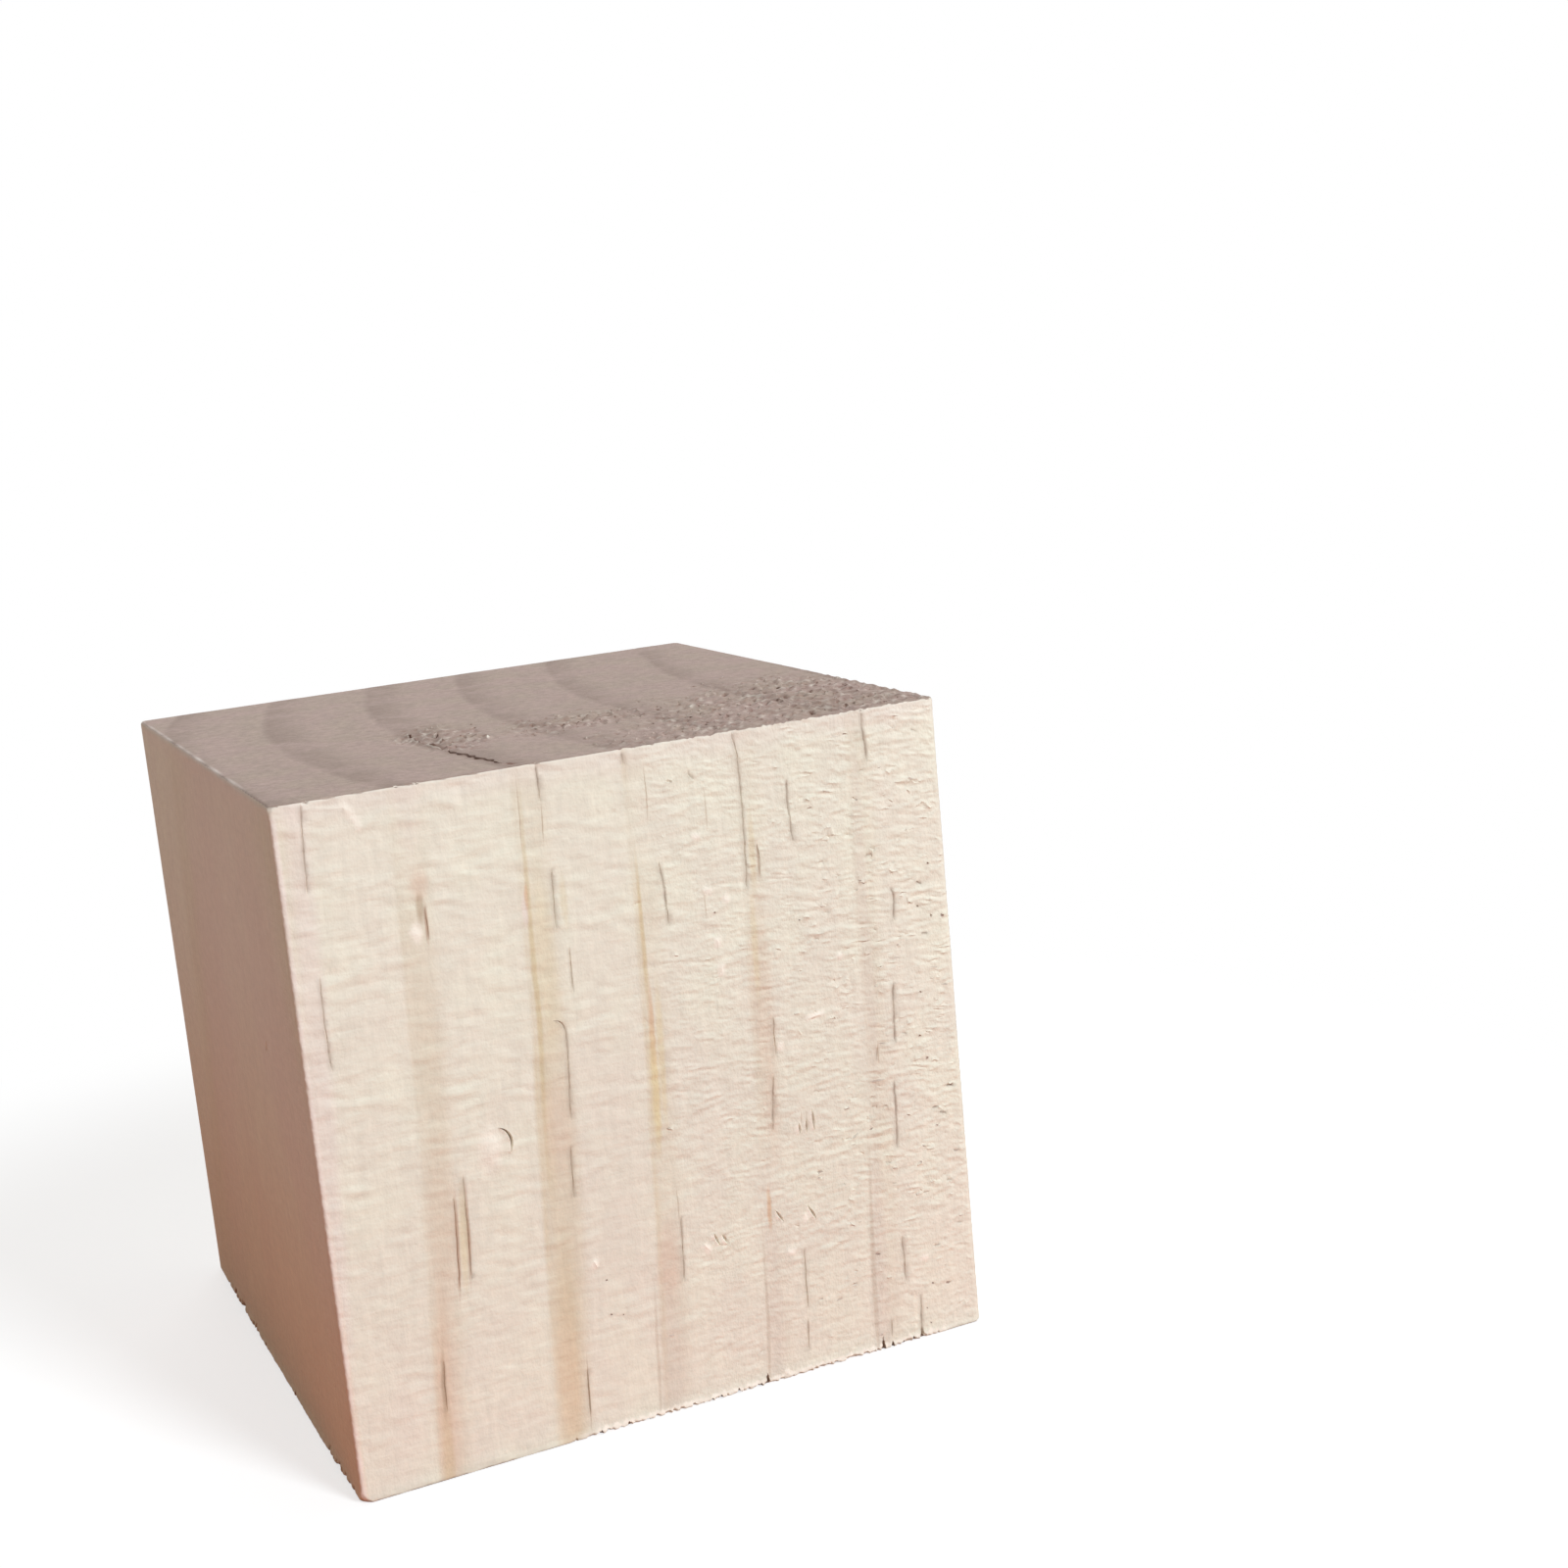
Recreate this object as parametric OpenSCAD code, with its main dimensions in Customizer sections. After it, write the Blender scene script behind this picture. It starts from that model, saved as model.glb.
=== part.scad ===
// Wooden cube: a three inch block of fast-grown softwood, sawn square, with its arrises lightly eased.
// The grain stands upright, so the top and the underside are end grain.
// Millimetres. Origin at the middle of the underside, +X to the right along the front face,
// +Y to the back, +Z up along the grain.

/* [Block] */
// Length of each side
side = 76.2; // [60:0.1:100]

/* [Eased arrises] */
// Rounding of the upright arris at the front left
front_left_round = 0.5; // [0.2:0.05:2]
// Rounding of the upright arris at the front right
front_right_round = 0.85; // [0.2:0.05:2]
// Rounding of the two upright arrises at the back
back_round = 0.6; // [0.2:0.05:2]
// Rounding of the arris between the top and the front face
top_front_round = 0.2; // [0.1:0.05:2]
// Rounding of the other three arrises round the top
top_round = 0.4; // [0.1:0.05:2]
// Rounding of the four arrises round the underside
foot_round = 0.3; // [0.1:0.05:2]

/* [Worn corners] */
// Reach of the wear along the arrises at the front left foot
foot_wear = 1.5; // [0.8:0.1:4]
// Reach of the wear at the top corner that is front left
near_top_wear = 0.9; // [0.6:0.1:4]
// Reach of the wear at the top corner that is back right
far_top_wear = 1.3; // [0.8:0.1:4]
// Reach of the wear at the other five corners
corner_wear = 1; // [0.8:0.1:4]
// Radius that the worn corners are rubbed to
wear_radius = 3.2; // [3:0.1:10]

/* [Torn foot arris] */
// How far from the left the tears along the front foot arris start
torn_from = 24; // [5:0.5:35]
// How far from the right they end
torn_to = 5.5; // [3:0.5:30]
// Mean spacing of the small tears
tear_pitch = 1.3; // [1:0.1:6]
// Greatest width of a small tear at the underside
tear_width = 0.65; // [0.3:0.05:1]
// Greatest height of a small tear up the front face
tear_height = 0.6; // [0.3:0.05:4]
// Width of the deep, narrow tears
deep_tear_width = 0.4; // [0.2:0.05:2]
// Greatest height of the deep tears
deep_tear_height = 1.1; // [0.5:0.1:5]
// Width of the nicks on the left foot arris
side_nick_width = 0.8; // [0.3:0.1:2]
// Height of the nicks on the left foot arris
side_nick_height = 0.9; // [0.3:0.1:3]

/* [Drying checks] */
// Width of a drying check at its middle
check_width = 0.2; // [0.1:0.02:0.6]
// Depth of a drying check
check_depth = 0.5; // [0.2:0.05:2]
// Width of the split in the end grain
split_width = 0.5; // [0.2:0.05:1]
// Depth of the split in the end grain
split_depth = 0.9; // [0.3:0.1:3]
// Length of the split in the end grain
split_length = 14.5; // [6:0.1:20]

/* [Dents] */
// Height of the crescent dent in the front face
crescent_height = 3.4; // [1:0.1:8]
// Width of the crescent at its middle
crescent_width = 0.5; // [0.2:0.05:0.9]
// Depth of the crescent dent
crescent_depth = 0.35; // [0.1:0.05:1]
// Length of the slanted nicks in the front face
nick_length = 2.2; // [0.8:0.1:4]
// Width of the slanted nicks
nick_width = 0.4; // [0.1:0.05:1]
// Depth of the slanted nicks
nick_depth = 0.3; // [0.1:0.05:1]

/* [Torn end grain] */
// Length of a torn pit in the end grain
pit_length = 2.4; // [0.8:0.1:4]
// Width of a torn pit
pit_width = 0.5; // [0.2:0.05:1]
// Depth of a torn pit
pit_depth = 0.35; // [0.1:0.05:1]
// Spacing of the pits where the saw tore the end grain
pit_pitch = 3.4; // [2.8:0.1:8]
// Lie of the pits, in degrees from the front-to-back line
pit_lean = -28; // [-80:1:80]

/* [Hidden] */

half = side / 2;
// Cutters run this far past the surface that they cut
over = 1;
// Seeds of the scattered tears and pits
tear_seed = 11;
pit_seed = 23;

function from_left(d) = -half + d;
function from_right(d) = half - d;
function from_front(d) = -half + d;
function from_top(d) = side - d;

// A repeatable number from 0 to 1 for the k-th of a scattered set
function scatter(k, seed) = let (v = sin(k * 127.1 + seed * 311.7) * 4375.85) v - floor(v);

// Checks in the front face, along the growth rings: middle in X, middle in Z, length
front_checks = [
    [from_left(3), from_top(5.4), 8.2],
    [from_left(2.8), from_top(24), 7.8],
    [from_left(14.6), from_top(13.8), 5.6],
    [from_left(15), from_top(49), 13.5],
    [from_left(10.2), 10.2, 8.8],
    [from_left(28.6), from_top(13.9), 4.8],
    [from_left(29.6), from_top(22), 5],
    [from_left(28.2), from_top(34), 7.8],
    [from_left(27.2), from_top(42), 8.6],
    [from_right(34.8), from_top(16), 7.4],
    [from_right(37.3), 19.7, 7],
    [from_right(24.8), from_top(9.2), 17.4],
    [from_right(24.9), from_top(42.3), 8.8],
    [from_right(22.7), 8.8, 13],
    [from_right(19.6), from_top(10.2), 7.6],
    [from_right(9.6), from_top(3.2), 6],
    [from_right(7.5), from_top(23.2), 3.6],
    [from_right(8.6), from_top(34.8), 5.6],
    [from_right(9.2), from_top(47), 9.6],
    [from_right(9.9), 11, 5],
    [from_right(8.3), 3.1, 5.4],
];

// Slanted nicks in the front face: X, Z, lean from upright in degrees
front_nicks = [
    [from_right(33.6), 18.4, 24],
    [from_right(32.5), 18.4, 28],
    [from_right(21), 19.1, 24],
    [from_right(24.9), 19.8, 30],
    [from_right(19.8), 30.1, 2],
    [from_left(8.2), from_top(2.4), 38],
];
crescent_at = [from_left(20.4), from_top(39.6)];

// Deep tears in the front foot arris: X, share of the greatest height
deep_tears = [
    [from_left(27.3), 0.45],
    [from_left(30.6), 0.55],
    [from_left(43.4), 0.5],
    [from_right(28.4), 1],
    [from_right(13.3), 0.95],
    [from_right(12.1), 0.6],
    [from_right(8.9), 0.5],
];
// Chips along the arris between the top and the front face
top_chips = [from_left(5.3), from_left(16.4), from_right(47.9), from_right(9.4)];
left_foot_nicks = [from_front(3.4), from_front(30), from_front(46), from_front(52)];

// Torn patches of the top: left edge, front edge, width, depth
torn_patches = [
    [from_right(26), from_front(1.5), 24, 26],
    [from_left(36), from_front(20), 12, 10],
    [from_left(25), from_front(20), 8, 14],
];

// The split follows one growth ring back from the front arris
split_at = [from_left(24.4), from_front(2.6 + split_length / 2)];
split_lean = 9;

module arris_cut(r) {
    // What a rounding of radius r takes off the arris along X, with the block towards +Y and +Z
    run = side + 2 * over;
    difference() {
        translate([-run / 2, -over, -over]) cube([run, r + over, r + over]);
        translate([-run / 2 - over, r, r]) rotate([0, 90, 0]) cylinder(r = r, h = run + 2 * over, $fn = 48);
    }
}

module end_rounds(radii) {
    // The four arrises round one end face at z = 0: front, right, back, left
    for (i = [0 : 3])
        rotate([0, 0, 90 * i]) translate([0, -half, 0]) arris_cut(radii[i]);
}

module upright_rounds(radii) {
    // The four upright arrises: front right, back right, back left, front left
    for (i = [0 : 3])
        rotate([0, 0, 90 * i]) translate([half, -half, half]) rotate([0, -90, 0]) arris_cut(radii[i]);
}

module knocked_corner(reach) {
    // A spherical cap that meets each arris at reach from the corner, for a corner at the origin
    c = (reach + sqrt(3 * wear_radius * wear_radius - 2 * reach * reach)) / 3;
    difference() {
        translate([-over, -over, -over]) cube([c + over, c + over, c + over]);
        translate([c, c, c]) sphere(r = wear_radius, $fn = 64);
    }
}

module knocked_corners(feet, tops) {
    // Corners in the order front left, front right, back right, back left
    for (i = [0 : 3]) {
        rotate([0, 0, 90 * i]) translate([-half, -half, 0]) knocked_corner(feet[i]);
        translate([0, 0, side]) rotate([0, 0, 90 * i]) translate([-half, -half, 0])
            rotate([0, 90, 0]) knocked_corner(tops[i]);
    }
}

module fibre_tear(width, height) {
    // A splinter torn out of an arris at the foot: wide at the underside, a point up the face
    root = width * (height + over) / height;
    translate([0, 0, -over]) cylinder(d1 = root, d2 = 0, h = height + over, $fn = 24);
}

module torn_foot() {
    count = floor((side - torn_from - torn_to) / tear_pitch);
    for (k = [0 : count - 1]) {
        x = torn_from + (k + 0.5 + 0.7 * (scatter(k, tear_seed) - 0.5)) * tear_pitch;
        width = tear_width * (0.35 + 0.65 * scatter(k, tear_seed + 1));
        height = tear_height * (0.3 + 0.7 * scatter(k, tear_seed + 2));
        translate([from_left(x), -half, 0]) fibre_tear(width, height);
    }
    for (t = deep_tears)
        translate([t[0], -half, 0]) fibre_tear(deep_tear_width, deep_tear_height * t[1]);
    for (y = left_foot_nicks)
        translate([-half, y, 0]) fibre_tear(side_nick_width, side_nick_height);
}

module lens_slot(length, width, depth) {
    // A narrow slot with pointed ends, long in Y, sunk below z = 0
    translate([0, 0, -depth]) linear_extrude(depth + over)
        polygon([[0, -length / 2], [width / 2, 0], [0, length / 2], [-width / 2, 0]]);
}

module on_front(x, z, lean = 0) {
    // Takes a shape that is sunk below z = 0 and long in Y to a place on the front face
    translate([x, -half, z]) rotate([90, 0, 0]) rotate([0, 0, lean]) children();
}

module drying_checks() {
    for (c = front_checks)
        on_front(c[0], c[1]) lens_slot(c[2], check_width, check_depth);
}

module end_split() {
    translate([split_at[0], split_at[1], side]) rotate([0, 0, split_lean])
        lens_slot(split_length, split_width, split_depth);
}

module crescent() {
    // A thumbnail dent: what is left of one disc when another of the same size is taken off it
    r = crescent_height * 0.62;
    translate([-r, 0, -crescent_depth]) difference() {
        cylinder(r = r, h = crescent_depth + over, $fn = 64);
        translate([-crescent_width, 0, -over]) cylinder(r = r, h = crescent_depth + 3 * over, $fn = 64);
        translate([-2 * r, crescent_height / 2, -over]) cube([4 * r, r, crescent_depth + 3 * over]);
        translate([-2 * r, -crescent_height / 2 - r, -over]) cube([4 * r, r, crescent_depth + 3 * over]);
    }
}

module dents() {
    on_front(crescent_at[0], crescent_at[1]) crescent();
    for (n = front_nicks)
        on_front(n[0], n[1], n[2]) lens_slot(nick_length, nick_width, nick_depth);
    for (x = top_chips)
        translate([x, -half, side]) sphere(d = nick_width * 1.6, $fn = 24);
}

module torn_patch(x, y, width, depth, seed) {
    // Pits scattered over a patch of the top, about one to each square of the pitch
    columns = floor(width / pit_pitch);
    rows = floor(depth / pit_pitch);
    for (i = [0 : columns - 1], j = [0 : rows - 1]) {
        k = i * rows + j;
        pit_x = x + (i + 0.05 + 0.9 * scatter(k, seed)) * pit_pitch;
        pit_y = y + (j + 0.05 + 0.9 * scatter(k, seed + 1)) * pit_pitch;
        turn = pit_lean + 40 * (scatter(k, seed + 2) - 0.5);
        size = 0.4 + 0.6 * scatter(k, seed + 3);
        translate([pit_x, pit_y, side]) rotate([0, 0, turn])
            lens_slot(pit_length * size, pit_width * size, pit_depth);
    }
}

module torn_end_grain() {
    for (i = [0 : len(torn_patches) - 1]) {
        p = torn_patches[i];
        torn_patch(p[0], p[1], p[2], p[3], pit_seed + 10 * i);
    }
}

module wooden_cube() {
    upright_radii = [front_right_round, back_round, back_round, front_left_round];
    foot_radii = [foot_round, foot_round, foot_round, foot_round];
    top_radii = [top_front_round, top_round, top_round, top_round];
    foot_wears = [foot_wear, corner_wear, corner_wear, corner_wear];
    top_wears = [near_top_wear, corner_wear, far_top_wear, corner_wear];
    color([0.86, 0.79, 0.69]) difference() {
        translate([-half, -half, 0]) cube([side, side, side]);
        upright_rounds(upright_radii);
        end_rounds(foot_radii);
        translate([0, 0, side]) rotate([0, 180, 0]) end_rounds(top_radii);
        knocked_corners(foot_wears, top_wears);
        torn_foot();
        drying_checks();
        end_split();
        dents();
        torn_end_grain();
    }
}

wooden_cube();
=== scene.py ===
"""Looks of the wooden cube: a three inch block of fast-grown softwood, sawn square, with upright grain.

The block is one closed skin on the form of the CAD solid. Each face is laid out flat, on a lattice that is
fine where there is detail, and each check, nick and torn pit in it has points of its own.
Block coordinates are millimetres from the front left foot corner: X right, Y back, Z up along the grain.
"""

import math

import bpy
import numpy as np
from mathutils import Matrix, Vector
from mathutils.geometry import delaunay_2d_cdt


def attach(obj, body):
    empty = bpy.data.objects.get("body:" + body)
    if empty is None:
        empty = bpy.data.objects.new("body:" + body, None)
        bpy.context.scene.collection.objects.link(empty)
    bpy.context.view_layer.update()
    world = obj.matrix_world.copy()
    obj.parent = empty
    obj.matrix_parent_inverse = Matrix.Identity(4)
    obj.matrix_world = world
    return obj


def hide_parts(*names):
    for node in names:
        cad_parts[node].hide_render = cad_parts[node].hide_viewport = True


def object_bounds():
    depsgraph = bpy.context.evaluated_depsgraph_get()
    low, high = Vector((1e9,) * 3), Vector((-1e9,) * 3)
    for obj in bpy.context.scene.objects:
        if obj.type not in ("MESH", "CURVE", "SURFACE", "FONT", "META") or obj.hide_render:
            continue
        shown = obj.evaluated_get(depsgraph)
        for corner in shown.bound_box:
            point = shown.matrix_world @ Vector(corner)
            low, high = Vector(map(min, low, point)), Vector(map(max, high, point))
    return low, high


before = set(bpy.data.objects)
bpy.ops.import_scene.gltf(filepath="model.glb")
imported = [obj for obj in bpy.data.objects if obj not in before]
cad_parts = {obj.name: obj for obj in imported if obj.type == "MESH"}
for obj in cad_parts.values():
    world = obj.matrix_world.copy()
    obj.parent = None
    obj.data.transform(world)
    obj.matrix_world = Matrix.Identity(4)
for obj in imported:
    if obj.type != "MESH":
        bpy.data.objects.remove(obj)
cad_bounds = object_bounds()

MM = 0.001
side = (cad_bounds[1].x - cad_bounds[0].x) / MM
half = side / 2

# ---------------- sizes of the block, in millimetres

FRONT_LEFT_ROUND, FRONT_RIGHT_ROUND, BACK_ROUND = 0.5, 0.85, 0.6
TOP_FRONT_ROUND, TOP_ROUND, FOOT_ROUND = 0.2, 0.4, 0.3
FOOT_WEAR, NEAR_TOP_WEAR, FAR_TOP_WEAR, CORNER_WEAR = 1.9, 0.9, 1.3, 1.0
WEAR_RADIUS = 3.2

TORN_FROM, TORN_TO = 24.0, side - 5.5  # the torn stretch of the front foot arris
TEAR_PITCH, TEAR_WIDTH, TEAR_HEIGHT = 1.3, 0.65, 0.6
DEEP_TEAR_WIDTH, DEEP_TEAR_HEIGHT = 0.4, 1.1
SIDE_NICK_WIDTH, SIDE_NICK_HEIGHT = 0.8, 0.9
TEAR_SEED, PIT_SEED = 11, 23

CHECK_WIDTH, CHECK_DEPTH, CHECK_TAPER = 0.2, 0.12, 0.9
SPLIT_HALF_WIDTH, SPLIT_DEPTH, SPLIT_LENGTH, SPLIT_LEAN = 0.5, 0.9, 14.5, 9.0
NICK_LENGTH, NICK_WIDTH, NICK_DEPTH = 2.2, 0.4, 0.3
CRESCENT_RADIUS, CRESCENT_WIDTH, CRESCENT_DEPTH, CRESCENT_ENDS = 2.1, 0.4, 0.35, (-34, 68)
PIT_LENGTH, PIT_WIDTH, PIT_DEPTH, PIT_PITCH, PIT_LEAN = 2.4, 0.5, 0.35, 3.4, -28.0


def from_right(d):
    return side - d


def from_top(d):
    return side - d


# ---------------- growth rings

# Latewood bands, as they meet the top at the rings' bulge: left edge, right edge, strength on the sides
BANDS = [
    (-3.0, 0.0, 0.6), (9.3, 12.9, 0.75), (22.5, 26.3, 1.0), (35.1, 37.9, 0.65),
    (47.9, 50.4, 0.65), (61.9, 64.3, 0.5), (75.5, 78.6, 0.5),
]
BULGE_AT = 28.0  # from the front: the rings reach furthest left here
BULGE_RADIUS = 140.0
LEAN, LEAN_MORE = 1.7, 2.3  # the rings move this far left from the top to the foot, at the left arris
LEAN_FADE = 0.008  # and this share less for each millimetre to the right


def ring_place(x, y, z):
    """Where the ring through a place meets the top at the bulge, on the scale of BANDS."""
    t = (side - z) / side
    bulge = (y - BULGE_AT) ** 2 / (2 * BULGE_RADIUS)
    return x - bulge + (LEAN * t + LEAN_MORE * t * t) * (1 - LEAN_FADE * x)


# ---------------- repeatable numbers and noise


def scatter(k, seed):
    """The k-th of a repeatable set of numbers from 0 to 1, as in the part's source."""
    v = math.sin(math.radians(k * 127.1 + seed * 311.7)) * 4375.85
    return v - math.floor(v)


def lattice_value(i, j, seed):
    """A repeatable number from 0 to 1 at each whole-number place."""
    h = (i * 374761393 + j * 668265263 + seed * 974634777) & 0xFFFFFFFF
    h = ((h ^ (h >> 13)) * 1274126177) & 0xFFFFFFFF
    return ((h ^ (h >> 16)) & 0xFFFFFF) / 0xFFFFFF


def noise(u, v, seed):
    """Smooth noise from about -1 to 1, with hills and hollows about one unit apart."""
    i, j = np.floor(u).astype(np.int64), np.floor(v).astype(np.int64)
    fu, fv = u - i, v - j

    def corner(di, dj):
        turn = 2 * np.pi * lattice_value(i + di, j + dj, seed)
        return np.cos(turn) * (fu - di) + np.sin(turn) * (fv - dj)

    su, sv = (f * f * f * (f * (f * 6 - 15) + 10) for f in (fu, fv))
    low = corner(0, 0) * (1 - su) + corner(1, 0) * su
    high = corner(0, 1) * (1 - su) + corner(1, 1) * su
    return 1.5 * (low * (1 - sv) + high * sv)


def waver(u, seed):
    """noise() along a line."""
    return noise(u, u * 0, seed)


def smooth(low, high, value):
    """0 at low, 1 at high, smooth between; low may be the larger."""
    t = np.clip((value - low) / (high - low), 0, 1)
    return t * t * (3 - 2 * t)


# ---------------- the solid that the skin lies on

LEFT, RIGHT, FRONT, BACK, FOOT, TOP = range(6)
ARRISES = [
    (LEFT, FRONT, FRONT_LEFT_ROUND), (RIGHT, FRONT, FRONT_RIGHT_ROUND), (LEFT, BACK, BACK_ROUND),
    (RIGHT, BACK, BACK_ROUND), (TOP, FRONT, TOP_FRONT_ROUND), (TOP, LEFT, TOP_ROUND),
    (TOP, RIGHT, TOP_ROUND), (TOP, BACK, TOP_ROUND), (FOOT, LEFT, FOOT_ROUND),
    (FOOT, RIGHT, FOOT_ROUND), (FOOT, FRONT, FOOT_ROUND), (FOOT, BACK, FOOT_ROUND),
]
WEAR = {(LEFT, FRONT, FOOT): FOOT_WEAR, (LEFT, FRONT, TOP): NEAR_TOP_WEAR, (RIGHT, BACK, TOP): FAR_TOP_WEAR}
CORNERS = [(p, q, s) for p in (LEFT, RIGHT) for q in (FRONT, BACK) for s in (FOOT, TOP)]

# Deep tears in the front foot arris: X, share of the greatest height
DEEP_TEARS = [
    (27.3, 0.45), (30.6, 0.55), (40.8, 0.35), (41.9, 0.45),
    (44.1, 0.6), (46.9, 0.4), (from_right(28.4), 1.3), (from_right(13.3), 1.5),
    (from_right(12.1), 0.7), (from_right(10.6), 0.4), (from_right(9.3), 0.6), (from_right(8.1), 1.2),
]
# Nicks in the left foot arris: Y, share of the full size
LEFT_FOOT_NICKS = [(3.4, 1.0), (9.2, 1.2), (30.0, 1.0), (46.0, 1.0), (52.0, 1.1), (59.6, 1.3), (64.8, 1.5)]
# Chips in the arris between the top and the front face: X, radius
TOP_CHIPS = [(3.9, 0.28), (13.2, 0.2), (15.3, 0.24), (from_right(47.9), 0.22), (from_right(9.4), 0.3)]


def foot_tears():
    """X, width and height of each splinter torn out of the front foot arris."""
    tears = [(x, DEEP_TEAR_WIDTH, DEEP_TEAR_HEIGHT * share) for x, share in DEEP_TEARS]
    for k in range(int((TORN_TO - TORN_FROM) / TEAR_PITCH)):
        x = TORN_FROM + (k + 0.5 + 0.7 * (scatter(k, TEAR_SEED) - 0.5)) * TEAR_PITCH
        width = TEAR_WIDTH * (0.35 + 0.65 * scatter(k, TEAR_SEED + 1))
        height = TEAR_HEIGHT * (0.3 + 0.7 * scatter(k, TEAR_SEED + 2))
        tears.append((x, width, height))
    return tears


FOOT_TEARS = foot_tears()


DEEP_INSIDE = -9.0


def outside_arris(p, q, r):
    """Above 0 outside a rounding of radius r between two faces, for depths p and q inside them."""
    return np.where((p < r) & (q < r), np.hypot(r - p, r - q) - r, np.maximum(-p, -q))


def outside_corner(p, q, s, reach):
    """Above 0 outside the round cap that wear leaves on a corner."""
    c = (reach + math.sqrt(3 * WEAR_RADIUS**2 - 2 * reach**2)) / 3
    cap = np.sqrt((p - c) ** 2 + (q - c) ** 2 + (s - c) ** 2) - WEAR_RADIUS
    return np.where((p < c) & (q < c) & (s < c), cap, -1.0)


def inside_tear(along, inward, z, at, width, height):
    """Above 0 inside a torn-out splinter: wide at the underside, a point up the face."""
    return width / 2 * (1 - (z / height) ** 2) - np.hypot(along - at, inward)


def tooth_height(u, seed):
    """0 to 1, one height for each whole step of u, and more low ones than high ones."""
    tooth = np.floor(u).astype(np.int64)
    return lattice_value(tooth, tooth * 0, seed) ** 2


def ragged_rim(x):
    """How far up the fibres have broken away along the foot, in small uneven steps."""
    high = tooth_height(x / 0.34 + 1.5 * waver(x / 1.9, 51), 52)
    slope = 0.09 * waver(x / 0.35, 53) + 0.12 * waver(x / 2.6, 54)
    torn = smooth(TORN_FROM - 3, TORN_FROM + 3, x) * smooth(TORN_TO + 1, TORN_TO - 1, x)
    return np.maximum(0.03, torn * (0.07 + 0.5 * high + slope))


def left_rim(y):
    """The same along the left foot arris, which is torn in two short stretches."""
    high = tooth_height(y / 0.5 + 1.2 * waver(y / 2.3, 81), 82)
    torn = np.maximum(smooth(3, 6, y) * smooth(17, 13, y), smooth(47, 52, y) * smooth(71, 67, y))
    return np.maximum(0.03, torn * (0.1 + 1.2 * high))


def under_rim(rim, inward, z):
    """Above 0 in the wedge that a torn rim leaves under it."""
    return rim * (1 - z / rim - inward / (0.06 + 0.9 * rim))


def off_chip(x, y, z, at):
    """How far places are from the middle of a chip in the front arris of the top."""
    return np.sqrt((x - at) ** 2 + y**2 + (side - z) ** 2)


def nibbled(u, seed):
    """How far the sharp arrises round the front are crushed and chipped, in millimetres."""
    return 0.10 + 0.22 * waver(u / 1.7, seed) + 0.12 * waver(u / 0.6, seed + 1)


def outside_plain(b):
    """Above 0 outside the rounded and worn block, at places b."""
    x, y, z = b.T
    depth = [x, side - x, y, side - y, z, side - z]
    value = np.full(len(b), DEEP_INSIDE)
    for p, q, r in ARRISES:
        value = np.maximum(value, outside_arris(depth[p], depth[q], r))
    for corner in CORNERS:
        value = np.maximum(value, outside_corner(*(depth[k] for k in corner), WEAR.get(corner, CORNER_WEAR)))
    return value


FAN = 1.2  # nearer an arris than this, places are drawn in towards the block's inner box
TEARS_BELOW = 1.4  # no tear in the foot arrises reaches higher
HALVINGS = 16  # in the search for the surface


def outside_torn(b):
    """Above 0 inside the tears and chips of the arrises, at places b."""
    x, y, z = b.T
    value = np.full(len(b), DEEP_INSIDE)
    low = z < TEARS_BELOW
    value = np.where(low & (y < FAN), under_rim(ragged_rim(x), y, z), value)
    value = np.where(low & (x < FAN), np.maximum(value, under_rim(left_rim(y), x, z)), value)
    value = np.maximum(value, 0.7 * (nibbled(x, 61) - (side - z) - y))
    value = np.maximum(value, 0.7 * (nibbled(z, 63) + 0.12 - x - y))

    def tear(along, inward, at, width, height):
        k = np.flatnonzero(low & (np.abs(along - at) < width))
        value[k] = np.maximum(value[k], inside_tear(along[k], inward[k], z[k], at, width, height))

    for at, width, height in FOOT_TEARS:
        tear(x, 0.4 * y, at, width, height)
    for at, share in LEFT_FOOT_NICKS:
        tear(y, 0.35 * x, at, SIDE_NICK_WIDTH * share, SIDE_NICK_HEIGHT * share)
    for at, radius in TOP_CHIPS:
        value = np.maximum(value, radius - off_chip(x, y, z, at))
    return value


def outside_all(b):
    return np.maximum(outside_plain(b), outside_torn(b))


def drawn_in(b, outside):
    """Places b of the sharp cube moved in to where outside() ends, and the outward direction at each."""
    inner = np.clip(b, FAN, side - FAN)
    span = inner - b
    length = np.linalg.norm(span, axis=1)
    out = -span / length[:, None]
    near = np.flatnonzero(length > FAN * 1.0001)
    start, move = b[near], span[near]
    low, high = np.zeros(len(near)), np.ones(len(near))
    for _ in range(HALVINGS):
        middle = (low + high) / 2
        is_out = outside(start + move * middle[:, None]) > 0
        low, high = np.where(is_out, middle, low), np.where(is_out, high, middle)
    moved = b.copy()
    moved[near] = start + move * high[:, None]
    return moved, out


# ---------------- relief of the faces


def crest(u, v, seed):
    """Thin ridges, 1 along their tops, that wander and break off."""
    return np.maximum(0, 1 - 3 * np.abs(noise(u, v, seed))) ** 1.5


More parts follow.
